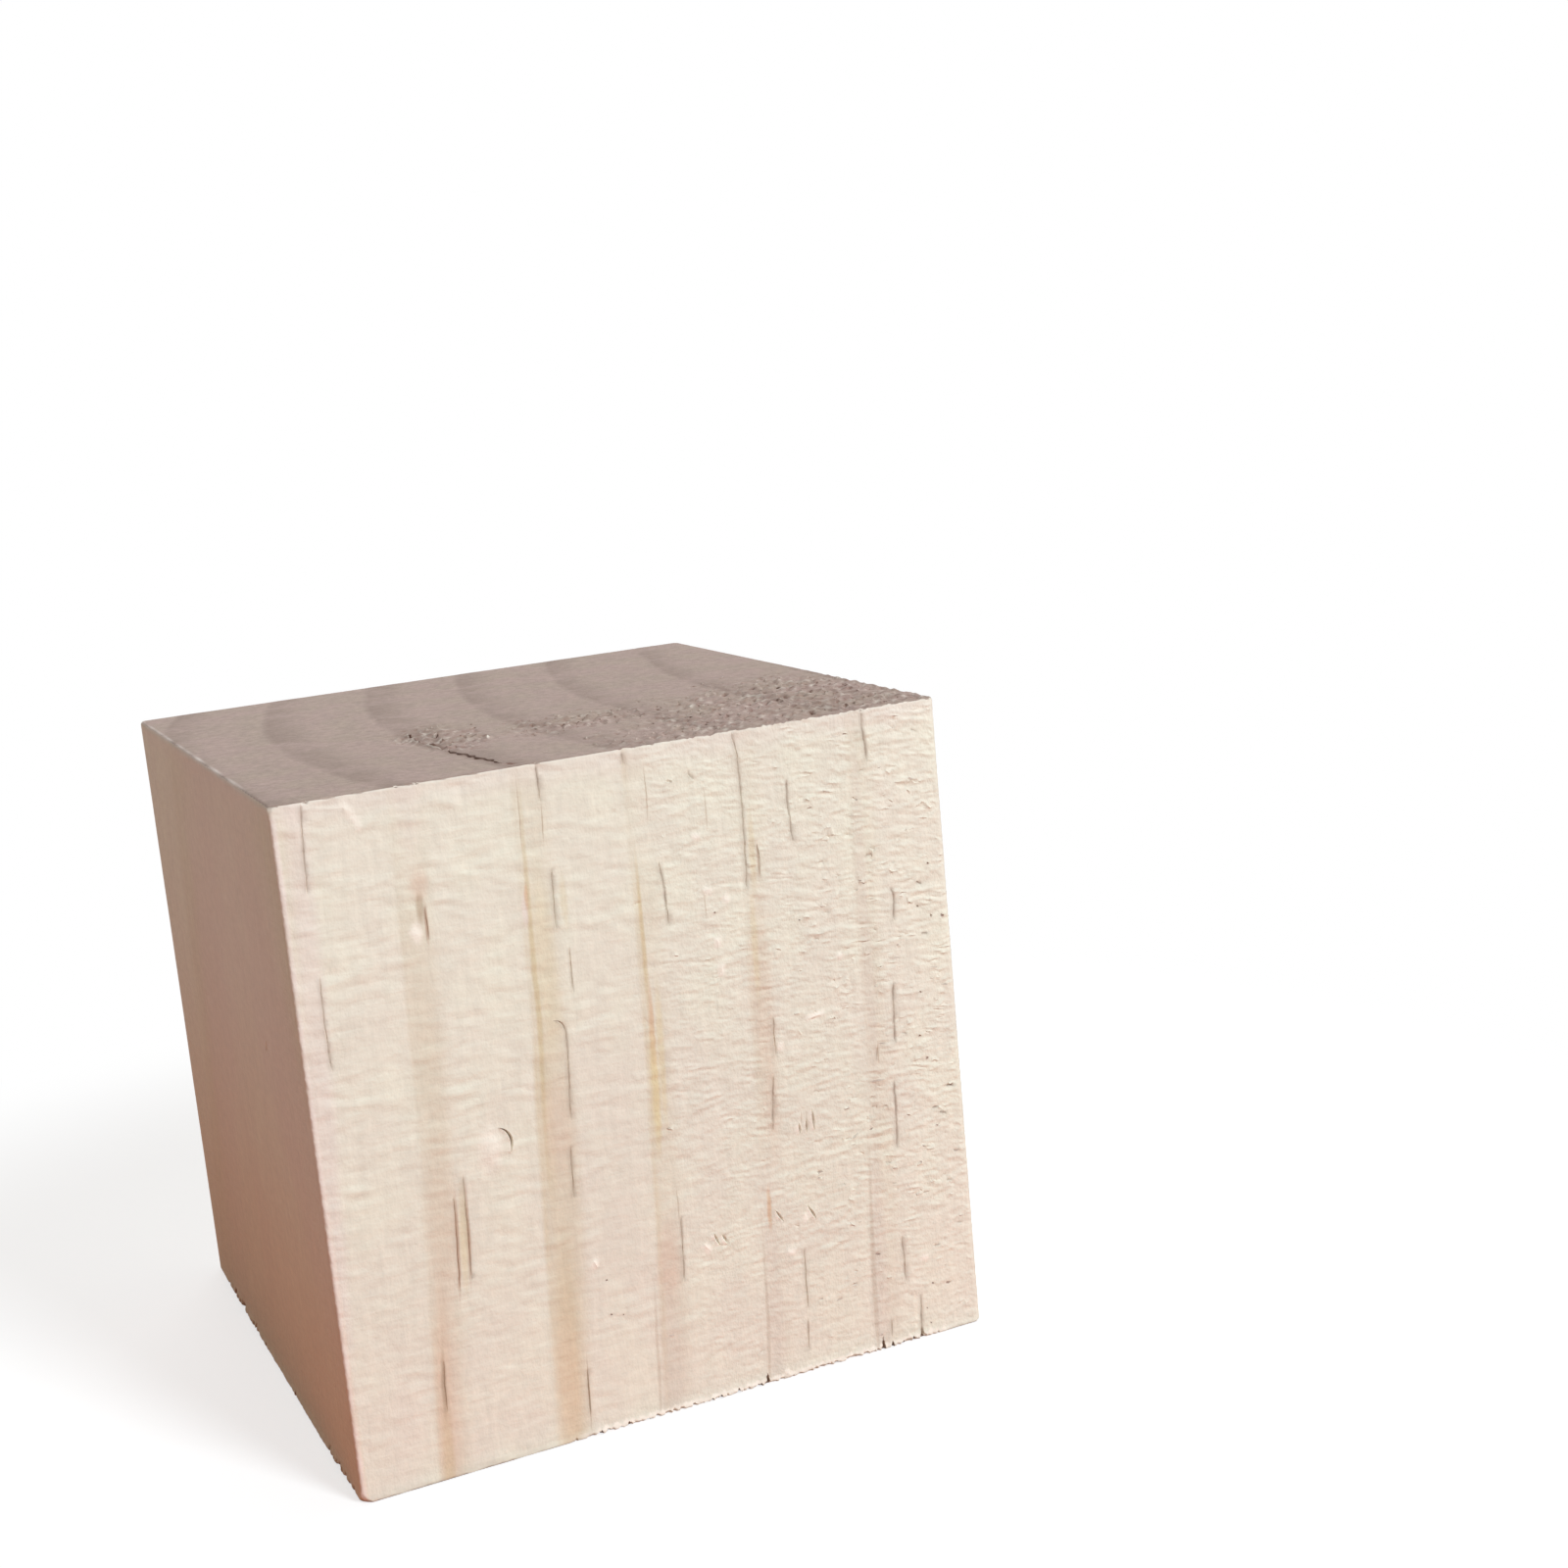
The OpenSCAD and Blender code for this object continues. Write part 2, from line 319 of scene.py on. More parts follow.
def planer_ripples(x, z):
    """Ripples across the grain from the planer: long at the upper left, short and slanting lower down."""
    drop = from_top(z)
    slope = 0.13 * smooth(36, 54, drop) * smooth(34, 50, x) - 0.07 * smooth(34, 14, drop)
    rows = z - slope * (x - half) + 0.7 * noise(x / 11, z / 8, 1) + 0.25 * noise(x / 3, z / 2.4, 2)
    spread = (0.3 + 0.7 * smooth(56, 30, x)) * (0.5 + 0.5 * smooth(60, 40, drop))
    long = spread * smooth(-0.3, 0.4, noise(x / 9, z / 4, 3))
    broad = noise(x / 6, rows / 1.3, 4) + 0.6 * crest(x / 4.5, rows / 1.2, 12)
    medium = noise(x / 2.8, rows / 0.9, 5) * smooth(-0.5, 0.3, noise(x / 6, z / 5, 6))
    blots = noise(x / 2.0, z / 1.0, 8) * smooth(-0.2, 0.5, noise(x / 4, z / 4, 20))
    return (0.118 * broad * long + 0.1 * medium + 0.065 * blots) * (0.75 + 0.25 * smooth(2, 16, z))


def torn_fibres(x, z):
    """Roughness that grows towards the right, where the planer lifted the fibres."""
    rough = smooth(30, 46, x + 6 * noise(x / 9, z / 12, 7)) * (0.7 + 0.3 * smooth(50, 70, x))
    patches = smooth(-0.45, 0.35, noise(x / 3, z / 2, 17))
    curl = z + 0.7 * noise(x / 3.4, z / 3, 18) + 0.06 * x * smooth(40, 65, z)
    worms = noise(x / 1.2, curl / 0.55, 9) + 1.1 * crest(x / 1.7, curl / 0.8, 19)
    return rough * (0.25 + 0.75 * patches) * (0.62 + 0.38 * smooth(4, 26, z)) * 0.112 * worms


def thumb_dent(x, z):
    """The low swelling that the crescent dent pushed up on its left."""
    return 0.34 * np.exp(-(((x - 18.6) / 1.1) ** 2 + ((z - from_top(40.6)) / 1.3) ** 2))


def torn_foot(x):
    """1 where the foot of the front face is torn, 0 further left and right."""
    return smooth(TORN_FROM - 2, TORN_FROM + 4, x) * smooth(TORN_TO + 3, TORN_TO - 1, x)


def foot_flare(x, z):
    """Torn fibres bend out a little along the foot."""
    return torn_foot(x) * smooth(1.0, 0.25, z) * (0.13 + 0.08 * waver(x / 0.7, 57))


def left_relief(y, z):
    """Plain, with a fringe of loose fibres that bends out along the foot."""
    fringe = smooth(2, 12, y) * smooth(76, 62, y) * smooth(1.3, 0.2, z)
    uneven = 0.3 + 0.12 * waver(y / 1.1, 58) + 0.1 * waver(y / 4, 60)
    return plain_relief(y, z, 31) + fringe * uneven


def front_relief(x, z):
    return planer_ripples(x, z) + torn_fibres(x, z) + thumb_dent(x, z) + foot_flare(x, z)


FIBRE_LIE = math.radians(62)  # of the torn fibres on the top, from X


def by_fibres(x, y):
    """How far places on the top lie along the torn fibres, and across them."""
    cos, sin = math.cos(FIBRE_LIE), math.sin(FIBRE_LIE)
    return x * cos + y * sin, x * sin - y * cos


def torn_ground(x, y):
    """0 to 1: how badly the saw tore the end grain of the top."""
    edge = 5 * noise(x / 6, y / 6, 15) + 2 * noise(x / 2, y / 2, 16)
    corner = smooth(38, 24, np.hypot((side - x) * 0.85, y) + edge)
    by_split = smooth(6, 3.5, np.hypot(x - 25.5, (y - 24) * 0.5) + edge * 0.4)
    middle = smooth(9, 4, np.hypot((x - 41) * 0.75, y - 22) + edge * 0.5)
    return np.maximum(corner, np.maximum(by_split, middle))


def top_relief(x, y):
    """Height of the end grain: proud latewood, faint saw lines, torn ground at the front right."""
    s = ring_place(x, y, side)
    height = 0.012 * noise(x / 3, y / 3, 11) + 0.01 * noise((x + y) / 0.9, (x - y) / 9, 12)
    for low, high, _ in BANDS:
        height += 0.02 * smooth(low - 0.8, low, s) * smooth(high + 0.8, high - 0.6, s)
    along, across = by_fibres(x, y)
    rough = noise(along / 2.4, across / 0.8, 13) + 0.6 * noise(along / 1.3, across / 0.5, 14)
    return height + torn_ground(x, y) * (0.23 * rough - 0.08)


def plain_relief(u, z, seed):
    """Height of a lightly planed face: long soft hollows along the grain."""
    ripples = 0.012 * noise(u / 9, z / 1.8, seed + 2) * smooth(-0.3, 0.5, noise(u / 13, z / 9, seed + 3))
    return 0.010 * noise(u / 1.4, z / 16, seed) + 0.02 * noise(u / 9, z / 12, seed + 1) + ripples


def relief(place, out):
    """How far each place moves, face by face, by how much it belongs to that face."""
    share = out * np.abs(out)
    move = np.zeros_like(place)
    faces = [
        (Y, -1, front_relief),
        (Y, 1, lambda x, z: plain_relief(x, z, 21)),
        (X, -1, left_relief),
        (X, 1, lambda y, z: plain_relief(y, z, 41)),
        (Z, 1, top_relief),
    ]
    for axis, sign, height in faces:
        k = np.flatnonzero(share[:, axis] * sign > 0.02)
        u, v = (place[k, other] for other in (X, Y, Z) if other != axis)
        move[k, axis] += sign * height(u, v) * np.abs(share[k, axis])
    return move


# ---------------- marks cut in the faces

# Checks in the front face: share of the full width, then X and distance from the top along each
FRONT_CHECKS = [
    (0.9, (3.3, 0.15), (3, 4.5), (2.8, 9.6)),
    (0.9, (2.9, 18.1), (2.75, 23), (2.9, 28.5)),
    (0.7, (14.55, 12.8), (14.65, 14.6), (14.6, 16.9)),
    (0.65, (15.15, 42.5), (15, 46.5), (14.9, 50.5), (14.7, 54.6)),
    (0.5, (13.9, 44.6), (13.6, 50), (13.3, 55.6)),
    (0.6, (10.6, 62.4), (10.35, 65.5), (10.3, 68.6)),
    (1.2, (28.2, 0.15), (28.3, 2), (28.3, 4.4)),
    (1.6, (37.85, 0.15), (37.95, 0.9), (37.9, 2)),
    (0.9, (45.05, 3.5), (45.4, 4.3), (46.1, 4.9)),
    (0.9, (28.7, 11.2), (28.6, 14.5), (28.45, 18.3)),
    (0.8, (29.7, 20.1), (29.65, 22.6), (29.6, 25.6)),
    (0.9, (27, 28), (27.9, 28.2), (28.35, 29.6), (28.1, 34), (27.7, 39.5)),
    (0.9, (27.35, 42), (27.2, 45.5), (27.1, 48.4)),
    (0.6, (26.4, 67.8), (26.3, 70.5), (26.2, 73.6)),
    (1.1, (40.8, 12.8), (41.15, 15.2), (41.3, 20.4)),
    (0.9, (39.2, 53.1), (39.05, 56.5), (38.8, 61.3)),
    (0.9, (50.8, 0.15), (51.2, 2.8), (51.25, 7), (51.1, 13.5), (50.9, 18.2)),
    (0.7, (52.6, 12.9), (52.7, 14.6), (52.6, 17.1)),
    (1.1, (56.8, 6.2), (56.75, 9), (56.95, 13.7)),
    (0.6, (52.6, 32.9), (52.55, 35), (52.5, 37.9)),
    (1, (52, 39.6), (51.6, 43), (51.3, 46.4)),
    (0.5, (53.8, 60.8), (53.7, 64.5), (53.6, 68.6)),
    (0.7, (53.5, 69.4), (53.3, 72.5), (53.2, 73.8)),
    (1.5, (66.85, 0.15), (66.6, 1.6), (66.7, 2.9), (66.95, 4.2), (66.9, 6.3)),
    (1.2, (68.45, 20.9), (68.95, 21.7), (69, 22.8), (68.75, 23.7), (68.8, 25.2)),
    (1.2, (67.95, 31.9), (67.8, 34.5), (67.6, 39.6)),
    (1.3, (65.25, 39.2), (65.15, 40), (65.05, 41.2)),
    (1.2, (67.05, 43.6), (67, 48), (66.75, 52.3)),
    (1.1, (66.4, 62.7), (66.5, 65.5), (66.45, 68.8)),
    (1.4, (68.3, 70.4), (68.15, 73), (68.05, 75.9)),
    (0.7, (64.2, 72.5), (64.1, 73.6), (64, 75)),
]

# Slanted nicks in the front face: X, Z, lean to the left at the top in degrees, share of the full length
FRONT_NICKS = [
    (from_right(33.0), 19.0, 20, 0.85), (from_right(32.0), 18.8, 26, 0.8),
    (from_right(21.0), 19.2, 26, 1.05), (from_right(25.1), 19.8, 30, 0.9),
    (from_right(19.8), 30.1, 2, 1.3), (55.5, from_top(46.6), -4, 0.8),
    (54.6, from_top(46.7), 3, 0.65),
]
CRESCENT_AT = (18.8, from_top(40.3))

# Raised flecks on the front face: X, distance from the top, length, lean to the left in degrees, height
FLECKS = [
    (8.25, 2.15, 4.2, 29, 0.08), (13.3, 15.6, 1.6, 38, 0.12),
    (28.7, 56.3, 1.3, 24, 0.20), (46.8, 23.2, 1.7, 4, 0.16),
    (47, 26.4, 1.9, -6, 0.16), (46.2, 17.2, 1.6, 60, 0.14),
    (48.4, 18.5, 1.3, 30, 0.13), (57.8, 34, 2.9, -84, 0.15),
    (53.2, 36.6, 1.6, -8, 0.12), (42, 57.9, 1.7, 36, 0.18),
    (52.2, 61, 1.5, 70, 0.14), (54.4, 57.4, 1.2, 30, 0.12),
    (61.5, 27.7, 1.1, -50, 0.12), (45.4, 10.9, 1.4, 70, 0.12),
    (69.2, 66.2, 1.5, 75, 0.13), (50.3, 75.3, 1.1, 6, 0.10),
]

# Short pits that show on their own, painted dark as shade: X, distance from the top, radius
LONE_PITS = [
    (73.7, 19.1, 0.26), (73.6, 25.3, 0.32), (75, 25.5, 0.3), (72, 23.9, 0.24),
    (70.9, 39.2, 0.26), (71.6, 42, 0.24), (29.8, 58.5, 0.16), (29.9, 62.6, 0.18),
    (31.3, 63, 0.14), (56.9, 22.6, 0.15), (46.8, 19.8, 0.18), (71.4, 34, 0.22),
    (70, 69.7, 0.24), (69, 72.6, 0.16), (69.4, 74.6, 0.2),
]

# Torn patches of the top: left edge, front edge, width, depth
TORN_PATCHES = [(from_right(26), 1.5, 24, 26), (36, 20, 12, 10), (25, 20, 8, 14)]


def straight_path(at, length, lean, pace):
    """Points along a straight mark that leans left at its far end by an angle in degrees."""
    angle = math.radians(lean)
    along = np.linspace(-length / 2, length / 2, max(5, 2 * int(length / pace / 2) + 1))
    return np.stack([at[0] - along * math.sin(angle), at[1] + along * math.cos(angle)], axis=1)


def bent_path(points, pace):
    """Points along a mark that bends gently through the given X and distances from the top."""
    corners = np.array([(x, from_top(t)) for x, t in points])
    gone = np.concatenate([[0], np.cumsum(np.linalg.norm(np.diff(corners, axis=0), axis=1))])
    along = np.linspace(0, gone[-1], max(5, int(gone[-1] / pace) + 1))
    path = np.stack([np.interp(along, gone, corners[:, k]) for k in (0, 1)], axis=1)
    for _ in range(3):
        path[1:-1] = (path[:-2] + 2 * path[1:-1] + path[2:]) / 4
    return path, along


def spindle(path, half_open, deep, lips=(0, 0), lip_tones=(0, 0), tone=-1, blunt=1):
    """A groove that is widest, deepest and darkest at its middle and runs out at both ends."""
    swell = 1 - np.linspace(-1, 1, len(path)) ** 2
    return path, half_open * swell**blunt, deep * swell, lips, lip_tones, tone * swell


def check_groove(k, share, points):
    """The k-th front check: a hairline that wanders, fades at its ends, or runs out at an arris."""
    path, along = bent_path(points, pace=0.4)
    path[:, 0] += 0.02 * np.sin(1.9 * along + k) + 0.012 * np.sin(5 * along + 2 * k)
    before = along + (1 if points[0][1] < 1 else 0)
    after = along[-1] - along + (1 if points[-1][1] > side - 1 else 0)
    ends = np.clip(np.minimum(before, after) / CHECK_TAPER, 0, 1) ** 0.7
    uneven = 0.75 + 0.25 * np.sin(1.7 * along + 3 * k) * np.sin(0.6 * along + k)
    width = (0.06 + 0.65 * CHECK_WIDTH * share * ends) * uneven
    # The check's bed and lips are painted dark as shade in the crack
    dark = -0.66 * min(share, 1.2) * ends * uneven
    return path, width, CHECK_DEPTH * ends, (0, 0.02), (-0.3, -0.3), dark


def front_grooves():
    """Grooves of the front face: path, half opening, depth, heights of the lips, tones of lips and bed."""
    grooves = [check_groove(k, share, points) for k, (share, *points) in enumerate(FRONT_CHECKS)]
    for x, z, lean, share in FRONT_NICKS:
        path = straight_path((x, z), NICK_LENGTH * share, lean, pace=0.3)
        # Painted highlight on each nick's raised left lip, painted shade in its bed
        grooves.append(spindle(path, NICK_WIDTH / 2, 0.7 * NICK_DEPTH, (0.12, 0.02), (0.9, 0), -0.7))
    for x, t, length, lean, height in FLECKS:
        path = straight_path((x, from_top(t)), length, lean, pace=0.3)
        grooves.append(spindle(path, 0.32, -height, (0.03, 0), (0.7, 0.5), 1, blunt=0.6))
    # The crescent dent: painted highlight on its raised lip, painted shade in its bed
    turn = np.radians(np.linspace(*CRESCENT_ENDS, 15))
    path = np.array(CRESCENT_AT) + CRESCENT_RADIUS * np.stack([np.cos(turn), np.sin(turn)], axis=1)
    return grooves + [spindle(path, CRESCENT_WIDTH / 2, CRESCENT_DEPTH, (0.10, 0.03), (0.7, 0), -0.9)]


# The split's broken line on from its wide part: X, Y, length, lean in degrees, width of the torn fibres
SPLIT_RUNS_ON = [
    (23.4, 20.4, 4.6, 4, 0.5), (22.8, 25.6, 3.8, -5, 0.4), (24.9, 22.9, 3.4, -24, 0.34),
    (25.6, 27.2, 3, -20, 0.3), (23.2, 30, 2.6, -14, 0.28),
]


def top_grooves():
    """The split in the end grain: its wide part, its mouth at the front, the line on from it and a curl."""
    path = straight_path((24.4, 2.6 + SPLIT_LENGTH / 2), SPLIT_LENGTH, SPLIT_LEAN, pace=0.35)
    t = np.linspace(-1, 1, len(path))
    path[:, 0] += 0.12 * np.sin(9 * t) + 0.09 * np.sin(31 * t)
    swell, blunt = (1 - t**4) * (0.7 + 0.3 * np.sin(21 * t + 1)), 1 - t**6
    # The beds and dark lips of the split and of the line on from it are painted shade
    wide = (path, SPLIT_HALF_WIDTH * swell, SPLIT_DEPTH * blunt, (0, 0), (-0.3, -0.1), -0.42 * blunt)
    mouth = spindle(straight_path((26.1, 1.75), 1.9, 12, pace=0.3), 0.35, 0.2, (0, 0), (-0.4, -0.4), -0.8)
    grooves = [wide, mouth]
    for x, y, length, lean, width in SPLIT_RUNS_ON:
        path = straight_path((x, y), length, lean, pace=0.35)
        path[:, 0] += 0.08 * np.sin(8 * np.linspace(-1, 1, len(path)) + y)
        grooves.append(spindle(path, 0.8 * width, 0.5, (0.18, 0.04), (0.5, -0.3)))
    return grooves + [spindle(straight_path((29.6, 20.4), 1.8, -25, pace=0.3), 0.3, -0.3, tone=1)]


def left_grooves():
    """The one small dent of the left face, painted dark as shade."""
    path = straight_path((from_top(29.7), 18.6), 1.7, 58, pace=0.25)
    return [spindle(path, 0.32, 0.3, tone=-0.5)]


def well_apart(spots, gap):
    """The spots that keep gap from every one kept before them."""
    kept = []
    for spot in spots:
        if all((spot[0] - k[0]) ** 2 + (spot[1] - k[1]) ** 2 > gap**2 for k in kept):
            kept.append(spot)
    return kept


def clear_of_grooves(spots, grooves, gap):
    """The spots whose rims keep gap from every groove."""
    path = np.vstack([g[0] for g in grooves])
    return [s for s in spots if ((path - s[:2]) ** 2).sum(axis=1).min() > (gap + max(s[2], s[3])) ** 2]


SPOT_MARGIN = 1.7  # no spot lies nearer an arris
FRONT_TRIES, FRONT_SEED, FRONT_GAP = 4200, 4, 0.8
TOP_TRIES, TOP_SEED, TOP_GAP = 2400, 9, 1.05
GROOVE_GAP = 0.3  # from a spot to a groove


def front_spots():
    """Torn pits of the front face: U, V, radii along U and V, turn, height, tone."""
    dice = np.random.default_rng(FRONT_SEED)
    spots = [(x, from_top(t), r, r * 0.55, -0.5, -0.2, -0.6) for x, t, r in LONE_PITS]
    places = dice.uniform((34, SPOT_MARGIN), side - SPOT_MARGIN, (FRONT_TRIES, 2))
    clusters = noise(places[:, 0] / 2.6, places[:, 1] / 2.2, 45)
    wavy = places[:, 0] + 7 * noise(places[:, 0] / 8, places[:, 1] / 8, 44)
    likely = 0.02 + smooth(50, 68, wavy) * smooth(-0.05, 0.5, clusters)
    for (x, z), chance in zip(places, likely):
        size = dice.uniform(0.3, 1) ** 1.5
        if dice.random() < 0.62 * chance:
            long, flat = 0.25 + 0.5 * size, 0.1 + 0.1 * size
            deep = dice.choice((-1, 1)) * (0.05 + 0.09 * size)
            # Pits are painted dark as shade, more so towards the right; raised tufts are painted pale as
            # highlight
            tone = size * (0.25 if deep > 0 else -0.3 - 0.5 * smooth(63, 70, x))
            spots.append((x, z, long, flat, dice.normal(-0.2, 0.3), deep, tone))
    return well_apart(spots, FRONT_GAP)


def top_spots():
    """Torn pits and raised fibre tips of the top, in the form of front_spots."""
    spots = []
    for patch, (left, front, width, depth) in enumerate(TORN_PATCHES):
        rows = int(depth / PIT_PITCH)
        for k in range(int(width / PIT_PITCH) * rows):
            i, j = divmod(k, rows)
            seed = PIT_SEED + 10 * patch
            x = left + (i + 0.05 + 0.9 * scatter(k, seed)) * PIT_PITCH
            y = front + (j + 0.05 + 0.9 * scatter(k, seed + 1)) * PIT_PITCH
            turn = math.radians(90 + PIT_LEAN + 40 * (scatter(k, seed + 2) - 0.5))
            size = 0.4 + 0.6 * scatter(k, seed + 3)
            # Pits of the torn patches are painted dark as shade
            spots.append((x, y, PIT_LENGTH / 2 * size, PIT_WIDTH / 2 * size, turn, -PIT_DEPTH, -0.6))
    dice = np.random.default_rng(TOP_SEED)
    tips = []
    for _ in range(TOP_TRIES):
        x, y = dice.uniform(20, side - SPOT_MARGIN), dice.uniform(SPOT_MARGIN, 40)
        if dice.random() < 0.75 * float(torn_ground(np.array([x]), np.array([y]))[0]):
            long, flat = dice.uniform(0.25, 0.9), dice.uniform(0.1, 0.17)
            up = dice.random() < 0.5
            height = dice.uniform(0.08, 0.22) * (1 if up else -1)
            turn = dice.normal(1.08, 0.25)
            # Raised tips are painted pale as glints, sunk ones dark as shade
            tips.append((x, y, long, flat, turn, height, 0.12 + 1.3 * height if up else -0.4))
    return well_apart(spots + tips, TOP_GAP)


def face_marks(name):
    """The grooves and spots of a face."""
    if name == "left":
        return left_grooves(), []
    if name not in ("front", "top"):
        return [], []
    grooves, spots = (front_grooves(), front_spots()) if name == "front" else (top_grooves(), top_spots())
    return grooves, clear_of_grooves(spots, grooves, GROOVE_GAP)


# ---------------- the skin

CELLS = 896
CELL = side / CELLS
COARSE = 16  # the most cells from one lattice point to the next where a face is plain
WELD = 1e-5  # points nearer each other than this are one
CLEARANCE = 0.1  # from a mark to the nearest lattice point
NARROWEST = 0.012  # half opening of a groove
UV_SCALE, UV_MARGIN = 0.94, 0.03  # of each face in its share of the UV square, three by two
X, Y, Z = 0, 1, 2
# Each face: its U axis, its V axis, the axis it is square to, and whether it lies at that axis's far end
FACES = {
    "front": (X, Z, Y, 0),
    "back": (Z, X, Y, 1),
    "right": (Y, Z, X, 1),
    "left": (Z, Y, X, 0),
    "top": (X, Y, Z, 1),
    "foot": (Y, X, Z, 0),
}


def lattice_steps(b):
    """Cells from one lattice point to the next along X, Y and Z: fewer where there is more detail."""
    x, y, z = b.T
    step = np.full(b.shape, COARSE)

    def at_most(where, *most):
        step[where] = np.minimum(step[where], most)

    tiny = CELL / 2
    on_front, on_top = y < tiny, z > side - tiny
    at_most(on_front, 8, COARSE, 4)
    at_most(on_front & (x > 40), 8, COARSE, 2)
    at_most(on_front & (np.hypot(x - 18.6, z - from_top(40.0)) < 3), 4, 4, 4)
    at_most(on_top, 8, 8, COARSE)
    at_most(on_top & (torn_ground(x, y) > 0.05), 4, 4, COARSE)
    for axis, value in enumerate((x, y, z)):
        for close, seen in ((value < FAN, axis != Z), (value > side - FAN, axis != Y)):
            fine = [COARSE] * 3
            fine[axis] = 2 if seen else 4
            at_most(close, *fine)
    torn = (y < FAN) & (x > TORN_FROM - 3)
    at_most(torn & (z < FAN), 2, 2, 2)
    at_most(torn & (z < 1.7), 2, 4, 2)
    for at, _ in DEEP_TEARS:
        at_most((y < 0.6) & (z < 1.5) & (np.abs(x - at) < 0.45), 1, 2, 2)
    left_foot = (x < FAN) & (z < FAN)
    at_most(left_foot, 2, 4, 2)
    at_most(left_foot & (left_rim(y) > 0.05), 2, 2, 2)
    for at, _ in LEFT_FOOT_NICKS:
        at_most(left_foot & (np.abs(y - at) < 0.8), 2, 2, 2)
    for at, _ in TOP_CHIPS:
        at_most((y < 0.8) & (z > side - 0.8) & (np.abs(x - at) < 0.8), 2, 2, 2)
    return step


class Sheet:
    """One face laid flat: its lattice points, and the points and lines of its marks."""

    def __init__(self, lattice):
        self.lattice = lattice
        self.on_edge = (lattice.min(axis=1) < CELL / 2) | (lattice.max(axis=1) > side - CELL / 2)
        self.kept = np.ones(len(lattice), bool)
        self.points, self.heights, self.tones, self.lines = [], [], [], []

    def clear(self, path, reach):
        """Drops the lattice points within reach of a path, apart from those on the face's edge."""
        low, high = path.min(axis=0) - reach, path.max(axis=0) + reach
        boxed = ((self.lattice > low) & (self.lattice < high)).all(axis=1)
        near = np.flatnonzero(boxed & ~self.on_edge & self.kept)
        start, run = path[:-1], np.diff(path, axis=0)
        gap = self.lattice[near][:, None] - start
        t = np.clip((gap * run).sum(axis=2) / (run**2).sum(axis=1), 0, 1)
        distance = np.linalg.norm(gap - t[:, :, None] * run, axis=2).min(axis=1)
        self.kept[near[distance < reach]] = False

    def add(self, point, height, tone):
        self.points.append(tuple(point))
        self.heights.append(height)
        self.tones.append(tone)
        return len(self.points) - 1

    def add_groove(self, path, half_open, sink, lips, lip_tones, bed_tone):
        """Cuts a groove: its left lip, bed and right lip are lines that the triangles keep to."""
        self.clear(path, max(half_open) + CLEARANCE + 0.01)
        along = np.gradient(path, axis=0)
        across = np.stack([along[:, 1], -along[:, 0]], axis=1) / np.linalg.norm(along, axis=1)[:, None]
        first = self.add(path[0], 0, 0)
        rows = [(first, first, first)]
        for at, aside, wide, deep, dark in list(zip(path, across, half_open, sink, bed_tone))[1:-1]:
            wide = max(wide, NARROWEST)
            left = self.add(at - aside * wide, lips[0], lip_tones[0])
            bed = self.add(at, -deep, dark)
            right = self.add(at + aside * wide, lips[1], lip_tones[1])
            rows.append((left, bed, right))
        last = self.add(path[-1], 0, 0)
        rows.append((last, last, last))
        for line in zip(*rows):
            self.lines += list(zip(line[:-1], line[1:]))

    def add_spot(self, u, v, long, flat, turn, height, tone, seed):
        """A small pit or tuft: an uneven ring round a bed of up to three points."""
        axis = np.array([math.cos(turn), math.sin(turn)])
        other = np.array([-axis[1], axis[0]])
        middle = np.array([u, v])
        reach = axis * (max(0, long - flat) + 0.01)
        self.clear(np.array([middle - reach, middle + reach]), flat + CLEARANCE)
        corners = 8 if long > 0.35 else 6
        for k in range(corners):
            angle = 2 * math.pi * k / corners
            size = 0.8 + 0.4 * scatter(k, seed)
            step = axis * long * math.cos(angle) + other * flat * math.sin(angle)
            self.add(middle + step * size, 0, tone * 0.3)
        for k in (-0.4, 0, 0.4) if long > 0.5 else (0,):
            self.add(middle + axis * k * long, height, tone)

    def triangles(self):
        """Every point, its height and tone, the triangles, and which lattice point each one is or -1."""
        lattice = np.flatnonzero(self.kept)
        offset = len(lattice)
        points = [Vector(p) for p in self.lattice[lattice]] + [Vector(p) for p in self.points]
        lines = [(a + offset, b + offset) for a, b in self.lines]
        spots, _, faces, origin, _, _ = delaunay_2d_cdt(points, lines, [], 0, WELD)
        if not all(origin):
            raise ValueError(f"marks cross at {[tuple(p) for p, o in zip(spots, origin) if not o]}")
        order = np.array([o[0] for o in origin])
        places = np.array([tuple(p) for p in points])[order]
        height = np.concatenate([np.zeros(offset), self.heights])[order]
        tone = np.concatenate([np.zeros(offset), self.tones])[order]
        source = np.concatenate([lattice, np.full(len(self.points), -1)])[order]
        return places, height, tone, np.array(faces), source


def face_patch(name):
    """One face of the sharp cube: places, lattice keys, heights, tones, triangles and UVs."""
    u_axis, v_axis, n_axis, far = FACES[name]
    i, j = np.meshgrid(np.arange(CELLS + 1), np.arange(CELLS + 1), indexing="ij")
    key = np.zeros((i.size, 3), np.int64)
    key[:, u_axis], key[:, v_axis], key[:, n_axis] = i.ravel(), j.ravel(), CELLS * far
    step = lattice_steps(key * CELL)
    key = key[(key[:, u_axis] % step[:, u_axis] == 0) & (key[:, v_axis] % step[:, v_axis] == 0)]
    sheet = Sheet(key[:, [u_axis, v_axis]] * CELL)
    grooves, spots = face_marks(name)
    for groove in grooves:
        sheet.add_groove(*groove)
    for k, spot in enumerate(spots):
        sheet.add_spot(*spot, k)
    flat, height, tone, faces, source = sheet.triangles()
    place = np.zeros((len(flat), 3))
    place[:, u_axis], place[:, v_axis], place[:, n_axis] = flat[:, 0], flat[:, 1], side * far
    own_key = np.where(source[:, None] < 0, -1, key[source])
    return place, own_key, height, tone, faces, flat / side


